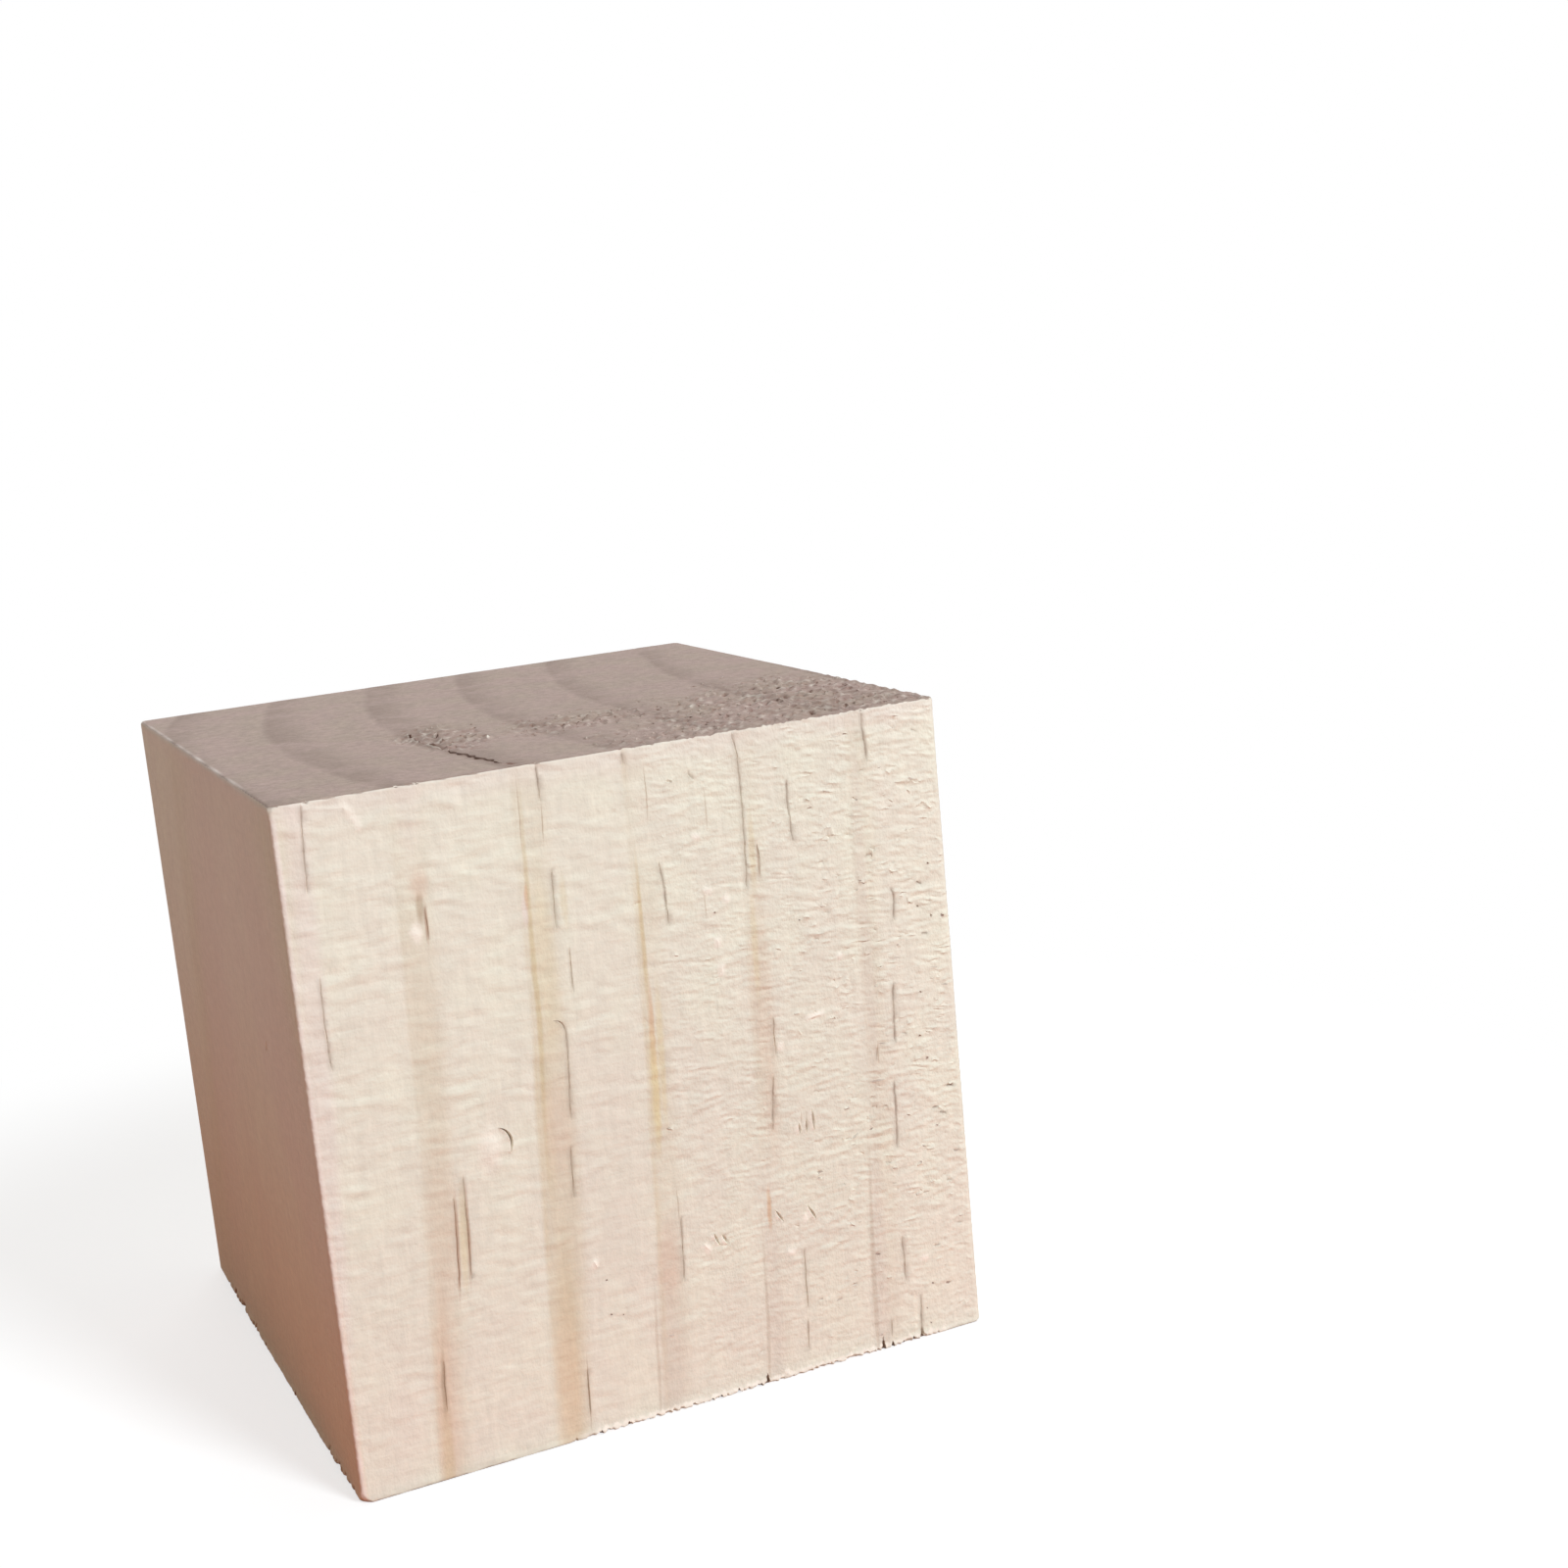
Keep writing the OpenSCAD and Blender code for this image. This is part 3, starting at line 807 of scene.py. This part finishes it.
def skin():
    """The block's closed skin: vertices, their heights and tones, triangles, UV of each corner."""
    parts, known, total = [], {}, 0
    for tile, name in enumerate(FACES):
        place, key, height, tone, faces, uv = face_patch(name)
        edge = ((key == 0) | (key == CELLS)).sum(axis=1) > 1
        index = np.empty(len(place), np.int64)
        fresh = np.ones(len(place), bool)
        for k in np.flatnonzero(edge):
            spot = tuple(key[k])
            if spot in known:
                index[k], fresh[k] = known[spot], False
        index[fresh] = total + np.arange(fresh.sum())
        known.update({tuple(key[k]): index[k] for k in np.flatnonzero(edge & fresh)})
        total += int(fresh.sum())
        tile_at = np.array([tile % 3, tile // 3])
        corners = ((uv * UV_SCALE + UV_MARGIN + tile_at) / (3, 2))[faces]
        parts.append((place[fresh], height[fresh], tone[fresh], index[faces], corners))
    return [np.concatenate(part) for part in zip(*parts)]


def add_object(name, data):
    """A new object of the scene that shows data."""
    thing = bpy.data.objects.new(name, data)
    bpy.context.collection.objects.link(thing)
    return thing


def new_mesh(name, vertices, triangles):
    """A mesh object from block coordinates in millimetres."""
    mesh = bpy.data.meshes.new(name)
    co = (np.asarray(vertices) - (half, half, 0)) * MM
    mesh.from_pydata(co.tolist(), [], np.asarray(triangles).tolist())
    return add_object(name, mesh)


def store(mesh, name, values):
    """Keeps one number for each vertex, for the material to read."""
    layer = mesh.attributes.new(name, "FLOAT", "POINT")
    layer.data.foreach_set("value", np.asarray(values, np.float32))


def foot_tone(x, z):
    """Pale torn fibres along the torn foot, partly fresh wood and partly painted highlight, and painted
    shade where a splinter is gone.
    """
    pale = smooth(1.05, 0.5, z + 0.4 * waver(x / 0.6, 55))
    tone = torn_foot(x) * pale * (0.9 + 0.3 * waver(x / 1.5, 56))
    for at, share in DEEP_TEARS:
        inside = inside_tear(x, 0, z, at, DEEP_TEAR_WIDTH, DEEP_TEAR_HEIGHT * share)
        tone = np.where(inside > -0.02, -1, tone)
    return tone


def left_foot_tone(y, z):
    """A pale thread of loose fibres along the left foot arris."""
    thread = smooth(10, 14, y) * smooth(52, 46, y) * smooth(0.9, 0.3, z)
    return 0.4 * thread * (0.8 + 0.4 * waver(y / 2, 59))


def tones(sharp, tone, torn):
    """How pale (to 1) or dark (to -1) each vertex is: marks, torn grain, loose fibres, and chips and tears
    painted dark as shade.
    """
    x, y, z = sharp.T
    ground = torn_ground(x, y) * (z > side - CELL / 2) * smooth(0.5, 1.2, y)
    along, across = by_fibres(x, y)
    mottle = 0.6 * noise(along / 2.2, across / 0.7, 71) + 0.3 * noise(x / 0.7, y / 0.7, 72)
    left_foot = (x < FAN) & (z < FAN)
    layers = [(True, ground * mottle), (y < FAN, foot_tone(x, z)), (left_foot, left_foot_tone(y, z))]
    # Painted shade in the chips of the top's front arris
    layers += [(off_chip(x, y, z, at) < 1.15 * radius, -0.16) for at, radius in TOP_CHIPS]
    # Painted shade where tears cut deepest into the block
    for where, value in [*layers, (True, -0.5 * smooth(0.25, 0.5, torn))]:
        tone = np.where(where & (tone == 0), value, tone)
    return tone


def rubbed(sharp):
    """0 to 1: how far the front left arris and the left arris of the top are paler, partly rubbed by
    handling and partly painted highlight.
    """
    x, y, z = sharp.T
    upright = smooth(0.95, 0.3, x) * smooth(0.6, 0.1, y) * smooth(0.4, 2, side - z)
    upright *= 0.7 + 0.3 * smooth(side - 16, side - 7, z) + 0.4 * waver(z / 3, 73)
    top_left = smooth(0.7, 0.2, x) * smooth(0.7, 0.2, side - z) * smooth(5, 16, y)
    return np.maximum(upright, top_left * (0.5 + 0.5 * waver(y / 5, 74)))


SHARP_FROM = 38  # degrees between two faces that aren't shaded as one


def make_block():
    """The block itself."""
    sharp, height, tone, triangles, corners = skin()
    plain, out = drawn_in(sharp, outside_plain)
    place, _ = drawn_in(sharp, outside_all)
    torn = np.linalg.norm(place - plain, axis=1)
    place += relief(place, out) + out * height[:, None]
    place[:, 2] = np.maximum(place[:, 2], 0)
    block = new_mesh("softwood_block", place, triangles)
    mesh = block.data
    inwards = np.minimum(sharp, side - sharp)[:, :2].min(axis=1)
    store(mesh, "tone", tones(sharp, tone, torn))
    store(mesh, "sawn", (sharp[:, 2] > side - CELL / 2) & (inwards > 0.7))
    # The arris share is partly rubbed wear and partly painted highlight
    store(mesh, "arris", rubbed(sharp))
    uv = mesh.uv_layers.new(name="OFBake")
    uv.data.foreach_set("uv", corners.reshape(-1))
    mesh.polygons.foreach_set("use_smooth", [True] * len(mesh.polygons))
    mesh.set_sharp_from_angle(angle=math.radians(SHARP_FROM))
    return block


# ---------------- nodes


def plug(tree, slot, value):
    """Gives a node's input a number, a colour, a Field, or the output of another node."""
    if isinstance(value, Field):
        value = value.socket
    if isinstance(value, bpy.types.Node):
        value = value.outputs[0]
    if isinstance(value, bpy.types.NodeSocket):
        tree.links.new(value, slot)
    elif slot.type == "RGBA":
        slot.default_value = (*value, 1)
    else:
        slot.default_value = value


def add_node(tree, kind, inputs=(), **settings):
    """A new shader node, with its inputs in order or by name or number."""
    node = tree.nodes.new("ShaderNode" + kind)
    for name, value in settings.items():
        setattr(node, name, value)
    for name, value in inputs.items() if isinstance(inputs, dict) else enumerate(inputs):
        plug(tree, node.inputs[name], value)
    return node


def empty_tree(owner):
    """The node tree of a material or a world, with nothing in it yet."""
    owner.use_nodes = True
    owner.node_tree.nodes.clear()
    return owner.node_tree


def show(tree, target, share, first, second):
    """Ends a tree with first where share is 0 and second where it is 1."""
    add_node(tree, target, (add_node(tree, "MixShader", (share, first, second)),))


class Field:
    """A number at each point of a surface, made of nodes."""

    def __init__(self, tree, socket):
        self.tree, self.socket = tree, socket

    def op(self, operation, *others):
        node = add_node(self.tree, "Math", (self, *others), operation=operation)
        return Field(self.tree, node.outputs[0])

    def __add__(self, other):
        return self.op("ADD", other)

    def __sub__(self, other):
        return self.op("SUBTRACT", other)

    def __mul__(self, other):
        return self.op("MULTIPLY", other)

    def smooth(self, low, high, full=1.0):
        """0 at low, full at high, smooth between; low may be the larger."""
        ends = (full, 0) if low > high else (0, full)
        inputs = {"Value": self, "From Min": min(low, high), "From Max": max(low, high)}
        inputs["To Min"], inputs["To Max"] = ends
        node = add_node(self.tree, "MapRange", inputs, interpolation_type="SMOOTHSTEP")
        return Field(self.tree, node.outputs["Result"])


class Wood:
    """What the colours are worked out from: block coordinates, noise and growth rings."""

    def __init__(self, tree):
        self.tree = tree
        coords = add_node(tree, "TexCoord").outputs
        self.place = self.vector("MULTIPLY_ADD", coords["Object"], (1 / MM,) * 3, (half, half, 0))
        self.x, self.y, self.z = self.split(self.place)
        self.normal = self.split(coords["Normal"])

    def vector(self, operation, *inputs):
        node = add_node(self.tree, "VectorMath", inputs, operation=operation)
        return node.outputs["Value" if operation == "LENGTH" else "Vector"]

    def split(self, socket):
        return [Field(self.tree, s) for s in add_node(self.tree, "SeparateXYZ", (socket,)).outputs]

    def noise(self, size, detail=2.0, roughness=0.5, shift=0.0):
        """Noise from 0 to 1 whose hills are size millimetres along X, Y and Z."""
        moved = (shift, shift * 1.7, shift * 0.6)
        scaled = self.vector("MULTIPLY_ADD", self.place, [1 / s for s in size], moved)
        inputs = {"Vector": scaled, "Scale": 1.0, "Detail": detail, "Roughness": roughness}
        return Field(self.tree, add_node(self.tree, "TexNoise", inputs).outputs["Fac"])

    def stored(self, name):
        """A number that the mesh holds at each vertex."""
        return Field(self.tree, add_node(self.tree, "Attribute", attribute_name=name).outputs["Fac"])

    def layered(self, colour, layers):
        """colour with layers over it in order, each a share and a colour."""
        for share, over in layers:
            colour = add_node(self.tree, "Mix", {0: share, 6: colour, 7: over}, data_type="RGBA").outputs[2]
        return colour

    def shade(self, colour, amount):
        """colour times amount."""
        return add_node(self.tree, "VectorMath", {0: colour, "Scale": amount}, operation="SCALE").outputs[0]

    def read_rings(self):
        """Adds ring_place() to each point, with the rings' small waves."""
        t = self.z * (-1 / side) + 1
        off = self.y - BULGE_AT
        lean = (t * LEAN_MORE + LEAN) * t * (self.x * -LEAN_FADE + 1)
        s = self.x + off * off * (-1 / (2 * BULGE_RADIUS)) + lean
        s = s + (self.noise((9, 9, 30), 1.0, shift=3.0) - 0.5) * 0.9
        self.s = s + (self.noise((1.2, 1.2, 12), 1.0, shift=7.0) - 0.5) * 0.4
        self.ring_and_height = add_node(self.tree, "CombineXYZ", (self.s, self.z)).outputs[0]

    def profile(self, stops):
        """A number that changes with ring place, from (ring place, value) pairs in order."""
        run = RAMP_TO - RAMP_FROM
        node = add_node(self.tree, "ValToRGB", ((self.s - RAMP_FROM) * (1 / run),))
        for element in node.color_ramp.elements:
            element.color = (0, 0, 0, 1)
        for place, value in stops:
            element = node.color_ramp.elements.new((place - RAMP_FROM) / run)
            element.color = (value, value, value, 1)
        return Field(self.tree, node.outputs[0])

    def streak(self, x, reach, foot, head, full, clamp=False):
        """A spindle along the grain, full inside it and fading out at its rim, that passes through x on the
        front face at the middle of its length, or with clamp of the part that lies on the block."""
        low, high = from_top(foot), from_top(head)
        middle, long = (low + high) / 2, (high - low) / 2
        at = ring_place(x, 0, (max(low, 0) + min(high, side)) / 2 if clamp else middle)
        scale, moved = (1 / reach, 1 / long, 0), (-at / reach, -middle / long, 0)
        off = self.vector("MULTIPLY_ADD", self.ring_and_height, scale, moved)
        return Field(self.tree, self.vector("LENGTH", off)).smooth(1.25, 0.35, full)


# ---------------- camera, light and ground

PHOTO_SIDE = 1600  # pixels
FOCAL_PIXELS = 2259.0  # focal length, in the photograph's pixels
SENSOR = 36.0
CAMERA_AT = Vector((-1.059, -3.372, 1.530))  # in sides of the cube
CAMERA_LOOKS = Vector((0.4049, 0.8937, -0.1933))
CAMERA_ROLL = math.radians(5.16)
CLIP_NEAR, CLIP_FAR = 0.01, 20  # metres


def add_camera():
    """The camera of the photograph."""
    data = bpy.data.cameras.new("camera")
    data.sensor_width = SENSOR
    data.lens = FOCAL_PIXELS * SENSOR / PHOTO_SIDE
    data.clip_start, data.clip_end = CLIP_NEAR, CLIP_FAR
    camera = add_object("camera", data)
    ahead = CAMERA_LOOKS.normalized()
    level = ahead.cross(Vector((0, 0, 1))).normalized()
    down = ahead.cross(level)
    right = math.cos(CAMERA_ROLL) * level + math.sin(CAMERA_ROLL) * down
    turn = Matrix((right, -ahead.cross(right), -ahead)).transposed()
    camera.matrix_world = Matrix.Translation(CAMERA_AT * side * MM) @ turn.to_4x4()
    bpy.context.scene.camera = camera


KEY_FROM, KEY_SOFTNESS, KEY_STRENGTH = (0.42, -1.0, 0.62), 16, 0.78
KEY_COLOUR = (0.93, 1.02, 1.08)
BACK_FROM, BACK_SOFTNESS, BACK_STRENGTH = (0.3, 1.0, 0.45), 50, 0.30
WHITE = (1, 1, 1)
SKY_LIGHT = (0.30, 0.285, 0.27)
# The ground's bounce near the block is warm, as from the hand that held it
LEFT_BOUNCE, FRONT_BOUNCE = (0.72, 0.12, 0.02), (0.61, 0.16, 0.06)
FAR_BOUNCE, FOOT_BOUNCE = (0.66, 0.36, 0.24), (0.50, 0.33, 0.26)
BOUNCE_FROM, BOUNCE_TO = 50.0, 190.0  # from the block's middle
GROUND_SEEN, GROUND_LIFT = (0.5, 0.5, 0.5), (0.66, 0.66, 0.66)
WHITE_FROM, WHITE_TO = 90.0, 160.0  # further out than this the ground is seen as plain white
GROUND_REACH, GROUND_LEVEL = 260, -0.02


def add_lamp(name, towards, softness, strength, colour=WHITE):
    """A far soft lamp in the direction towards; at strength 1 a surface that faces it renders as written."""
    data = bpy.data.lights.new(name, "SUN")
    data.angle = math.radians(softness)
    data.color = colour
    data.energy = strength * math.pi
    lamp = add_object(name, data)
    lamp.rotation_mode = "QUATERNION"
    lamp.rotation_quaternion = Vector(towards).normalized().to_track_quat("Z", "Y")


def seen_directly(tree):
    """1 for rays that show the background itself, 0 for those that light the block."""
    rays = add_node(tree, "LightPath").outputs
    seen = Field(tree, rays["Is Camera Ray"])
    for kind in ("Is Glossy Ray", "Is Transmission Ray"):
        seen = seen.op("MAXIMUM", rays[kind])
    return seen


def add_surround():
    """White where it is seen, soft light where it isn't."""
    world = bpy.data.worlds.new("surround")
    bpy.context.scene.world = world
    tree = empty_tree(world)
    light, white = (add_node(tree, "Background", {"Color": c}) for c in (SKY_LIGHT, WHITE))
    show(tree, "OutputWorld", seen_directly(tree), light, white)


def ground_material():
    """Seen as white with the block's shadow on it; its bounce on the block is warm."""
    material = bpy.data.materials.new("ground")
    tree = empty_tree(material)
    wood = Wood(tree)
    off = Field(tree, wood.vector("LENGTH", wood.vector("SUBTRACT", wood.place, (half, half, 0))))
    by_foot = wood.y.smooth(-4.5, -0.5) * wood.x.smooth(-2, 4)
    layers = [(wood.x.smooth(10, -25), LEFT_BOUNCE), (by_foot, FOOT_BOUNCE)]
    bounce = wood.layered(FRONT_BOUNCE, [*layers, (off.smooth(BOUNCE_FROM, BOUNCE_TO), FAR_BOUNCE)])
    warm, pale = (add_node(tree, "BsdfDiffuse", {"Color": c}) for c in (bounce, GROUND_SEEN))
    lift, white = (add_node(tree, "Emission", {"Color": c}) for c in (GROUND_LIFT, WHITE))
    lit = add_node(tree, "AddShader", (pale, lift))
    seen = add_node(tree, "MixShader", (off.smooth(WHITE_FROM, WHITE_TO), lit, white))
    show(tree, "OutputMaterial", seen_directly(tree), warm, seen)
    return material


def add_ground():
    """What the block stands on."""
    ways = ((-1, -1), (1, -1), (1, 1), (-1, 1))
    corners = [(GROUND_REACH * u, GROUND_REACH * v, GROUND_LEVEL) for u, v in ways]
    ground = new_mesh("ground", corners, [(0, 1, 2), (0, 2, 3)])
    ground.data.materials.append(ground_material())


# ---------------- the wood's material

PALE = (0.82, 0.765, 0.65)
CREAM = (0.84, 0.80, 0.67)
BLUSH = (0.81, 0.73, 0.63)
ROSE = (0.83, 0.71, 0.655)
TAN = (0.725, 0.64, 0.50)
OCHRE = (0.66, 0.52, 0.31)
OLIVE = (0.66, 0.55, 0.36)
YELLOW = (0.76, 0.63, 0.38)
ORANGE = (0.72, 0.50, 0.33)
PINK = (0.75, 0.60, 0.48)
MAUVE = (0.70, 0.612, 0.53)
RUST = (0.50, 0.30, 0.20)
BROWN = (0.45, 0.33, 0.22)
SHADOW = (0.29, 0.205, 0.155)
# Fresh pale wood, also used as painted highlight
FRESH_AND_HIGHLIGHT = (0.97, 0.89, 0.78)
# Pale of the rubbed arrises, partly wear and partly painted highlight
RUBBED_AND_HIGHLIGHT = (0.95, 0.835, 0.765)
PAINTED_WARM_SHADE = (0.76, 0.59, 0.38)  # painted warm shade, darker towards the foot of the left face
END_SHADOW = (0.22, 0.085, 0.055)
# End grain colours, darker than the sides partly as end grain is and partly as painted shade of the top
END_PALE = (0.425, 0.303, 0.260)
END_OLIVE = (0.405, 0.302, 0.245)
END_DARK = (0.295, 0.205, 0.167)
ROUGHNESS, GLOSS = 0.75, 0.25
BUMP = 0.12  # height of the finest waves and grit
RAMP_FROM, RAMP_TO = -20.0, 100.0  # the ring places that a profile covers

# Coloured streaks along the grain: X on the front face, half width, distances from the top at the
# lower and the upper end, colour, strength
STREAKS = [
    # The pale streak at X 18.4 is a painted highlight on the swelling beside the crescent dent
    (1.1, 1.7, 96.2, -23.8, ROSE, 0.5), (18.4, 1.5, 43.4, 37.6, FRESH_AND_HIGHLIGHT, 0.7),
    (13.9, 1.6, 10, -10, BLUSH, 0.7), (14.15, 0.5, 15.2, 10.4, BROWN, 0.65),
    (14.3, 1.2, 12.2, 8.8, PINK, 0.7), (14.65, 0.22, 17.2, 12.4, RUST, 0.6),
    (13.5, 0.7, 17, 14.2, FRESH_AND_HIGHLIGHT, 0.8), (25.5, 0.4, 46, 2, OLIVE, 0.8),
    (25.3, 0.4, 17.4, 13.4, ROSE, 0.6), (25.6, 0.3, 15.6, 12.4, ORANGE, 0.7),
    (26.8, 1.5, 34, 10, YELLOW, 0.3), (29.9, 0.5, 18.5, 12, YELLOW, 0.3),
    (51.6, 1.5, 44, 17, PINK, 0.4), (51.3, 0.5, 31, 18, YELLOW, 0.35),
    (65, 0.9, 50, 0, MAUVE, 0.4), (25.2, 0.9, 50, 30, OCHRE, 0.3),
    (26.4, 1.8, 80, 30, TAN, 0.5), (38.1, 0.32, 30, 11.5, OCHRE, 0.7),
    (38, 0.32, 38, 26, ORANGE, 0.8), (37.7, 0.55, 46, 31, YELLOW, 0.85),
    (38.8, 0.5, 43, 26, YELLOW, 0.5), (26.3, 1.8, 46, 34, PINK, 0.5),
    (24.6, 2, 84, 50, OCHRE, 0.4), (24.2, 1.6, 84, 58, ORANGE, 0.3),
    (12.2, 1.9, 58, 38, PINK, 0.5), (12.6, 1.6, 58, 20, TAN, 0.4),
    (14.4, 0.6, 56, 43, YELLOW, 0.5), (13.6, 0.22, 56.5, 44, RUST, 0.65),
    (14.95, 0.2, 55.5, 43, RUST, 0.6), (10.4, 1.1, 84, 54, ORANGE, 0.45),
    (10.9, 1.5, 86, 54, PINK, 0.5), (10, 0.7, 84, 66, OCHRE, 0.4),
    (36.5, 1.8, 90, 58, MAUVE, 0.4), (49.5, 1.3, 90, 50, MAUVE, 0.42),
    (63.4, 1.2, 90, 44, MAUVE, 0.45), (10.4, 0.3, 69.5, 60.5, BROWN, 0.55),
    (37.2, 1.5, 63.5, 53.5, PINK, 0.75), (51.9, 0.5, 19, 9, OCHRE, 0.4),
    (52.6, 0.2, 17.2, 12.5, RUST, 0.4), (49.9, 0.3, 58, 52.5, ORANGE, 0.8),
    (51.4, 1.1, 50, 38, PINK, 0.35),
]

# Fine dark lines along the grain, in the same form without a colour
HAIRLINES = [
    (28.4, 0.10, 8.7, 4.2, 0.6), (40.2, 0.09, 8.6, 2, 0.6), (26.3, 0.10, 76, 66, 0.6),
    (25.8, 0.09, 9, 1, 0.5), (34.8, 0.22, 80, 60, 0.3), (48.2, 0.25, 84, 56, 0.3),
    (62.5, 0.3, 84, 48, 0.3), (46.8, 0.10, 10.6, 6, 0.4), (45.7, 0.10, 20.6, 17, 0.4),
    (65.2, 0.09, 41.6, 38.6, 0.6), (54.9, 0.08, 46.6, 44.6, 0.5), (55.6, 0.08, 47.2, 44.8, 0.5),
    (38.9, 0.09, 54, 50, 0.5),
]


FULL_BANDS = [(low, high, 1) for low, high, _ in BANDS]


def band_stops(rise, fall, bands):
    """A profile's stops: (shift, value) pairs about each band's left edge, then about its right edge."""
    stops = []
    for low, high, strength in bands:
        stops += [(low + shift, value * strength) for shift, value in rise]
        stops += [(high + shift, value * strength) for shift, value in fall]
    return stops


# Latewood share on the sides, the line at the left edge of the third and fourth bands, the end grain
BODY = band_stops([(-0.3, 0), (0.2, 1)], [(-0.6, 0.85), (0.7, 0)], BANDS)
EDGE = band_stops([(-0.25, 0), (0.05, 1), (0.5, 0)], [], FULL_BANDS[2:4])
END = band_stops([(-0.7, 0), (0.1, 1)], [(-1.2, 0.75), (1.8, 0)], FULL_BANDS)


def long_grain(wood):
    """Colour of the upright faces: pale wood, latewood bands, streaks, hairlines and fine fibres, with
    painted warm shade at the foot of the left face and painted light brighter towards the top and the right.
    """
    clouds = wood.noise((6, 6, 9), 2.0, shift=13.0)
    patchy = wood.noise((14, 14, 24), 3.0, shift=11.0)
    layers = [
        (clouds.smooth(0.35, 0.7), CREAM),
        (patchy.smooth(0.48, 0.75, 0.8), BLUSH),
        (wood.profile(BODY) * patchy.smooth(0.25, 0.6, 0.75), TAN),
        (wood.profile(EDGE) * patchy.smooth(0.35, 0.6, 0.45), OCHRE),
    ]
    for *line, tint, strength in STREAKS:
        layers.append((wood.streak(*line, strength, clamp=True), tint))
    layers += [(wood.streak(*line), BROWN) for line in HAIRLINES]
    layers.append((wood.z.smooth(side - 3.5, side - 0.5, 0.35), ROSE))
    # Painted warm shade: the left face is painted darker and warmer towards its foot
    layers.append((wood.x.smooth(1, 0.2, 0.75) * wood.z.smooth(56, -6), PAINTED_WARM_SHADE))
    colour = wood.layered(PALE, layers)
    fibres = wood.noise((0.65, 0.65, 5), 2.0, 0.7, shift=5.0)
    blots = wood.noise((2.0, 2.0, 0.9), 3.0, 0.65, shift=23.0)
    right = wood.normal[0].smooth(0.45, 0.8, 0.3)
    # Painted light: the upright faces are painted brighter towards the top and towards the right
    amount = (fibres - 0.5) * (right + 0.18) + (blots - 0.5) * 0.2 + wood.z.smooth(20, 76, 0.055)
    return wood.shade(colour, amount + wood.x.smooth(56, 76, 0.05) + 0.978)


def end_grain(wood):
    """Colour of the top and the underside: greyer and darker than the sides, partly as end grain is and
    partly as painted shade of the top, with dark bands and fine pores.
    """
    cloudy = wood.noise((7, 7, 7), 2.0, shift=37.0)
    bands = wood.profile(END) * cloudy.smooth(0.1, 0.7, 0.95)
    colour = wood.layered(END_PALE, [(cloudy.smooth(0.35, 0.65), END_OLIVE), (bands, END_DARK)])
    pores = wood.noise((1.1, 1.1, 6), 4.0, 0.85, shift=31.0)
    return wood.shade(colour, (pores - 0.5) * 0.9 + 1.0)


def grained_shader(wood, colour, shadow, normal):
    """One grain of the wood, paler on the rubbed arris, which is partly wear and partly painted highlight,
    paler in torn fibres and where highlights are painted, and painted dark as shade in cracks, pits and
    tears.
    """
    worn, tone = wood.stored("arris").smooth(0, 1, 0.9), wood.stored("tone")
    # Painted light: a negative tone mixes in the painted shade colour, a positive one fresh pale wood and
    # painted highlights
    layers = [(worn, RUBBED_AND_HIGHLIGHT), (tone.smooth(0, 1), FRESH_AND_HIGHLIGHT), (tone.smooth(0, -1, 0.95), shadow)]
    colour = wood.layered(colour, layers)
    finish = {"Roughness": ROUGHNESS, "Specular IOR Level": GLOSS}
    return add_node(wood.tree, "BsdfPrincipled", {"Base Color": colour, "Normal": normal, **finish})


def wood_material():
    """Bare softwood, planed on the sides and sawn on the ends."""
    material = bpy.data.materials.new("softwood")
    tree = empty_tree(material)
    wood = Wood(tree)
    wood.read_rings()
    waves = wood.noise((4.2, 4.2, 0.8), 2.0, 0.6, shift=61.0)
    grit = wood.noise((0.75, 0.75, 1.0), 2.0, 0.8, shift=43.0)
    rough = wood.x.smooth(30, 48, 0.4) - wood.normal[0].smooth(0.45, 0.8, 0.6) + 0.6
    height = {"Strength": 1.0, "Distance": BUMP * MM, "Height": waves * -0.6 + grit * rough}
    bump = add_node(tree, "Bump", height)
    sides = grained_shader(wood, long_grain(wood), SHADOW, bump)
    ends = grained_shader(wood, end_grain(wood), END_SHADOW, bump)
    end = wood.normal[2].op("ABSOLUTE").smooth(0.45, 0.8).op("MAXIMUM", wood.stored("sawn"))
    show(tree, "OutputMaterial", end, sides, ends)
    return material


# ---------------- the scene

add_camera()
add_surround()
add_ground()
add_lamp("key", KEY_FROM, KEY_SOFTNESS, KEY_STRENGTH, KEY_COLOUR)
add_lamp("back_fill", BACK_FROM, BACK_SOFTNESS, BACK_STRENGTH)

block = make_block()
block.data.materials.append(wood_material())
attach(block, "root")
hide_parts("wooden_cube")

bpy.context.scene.view_settings.view_transform = "Standard"
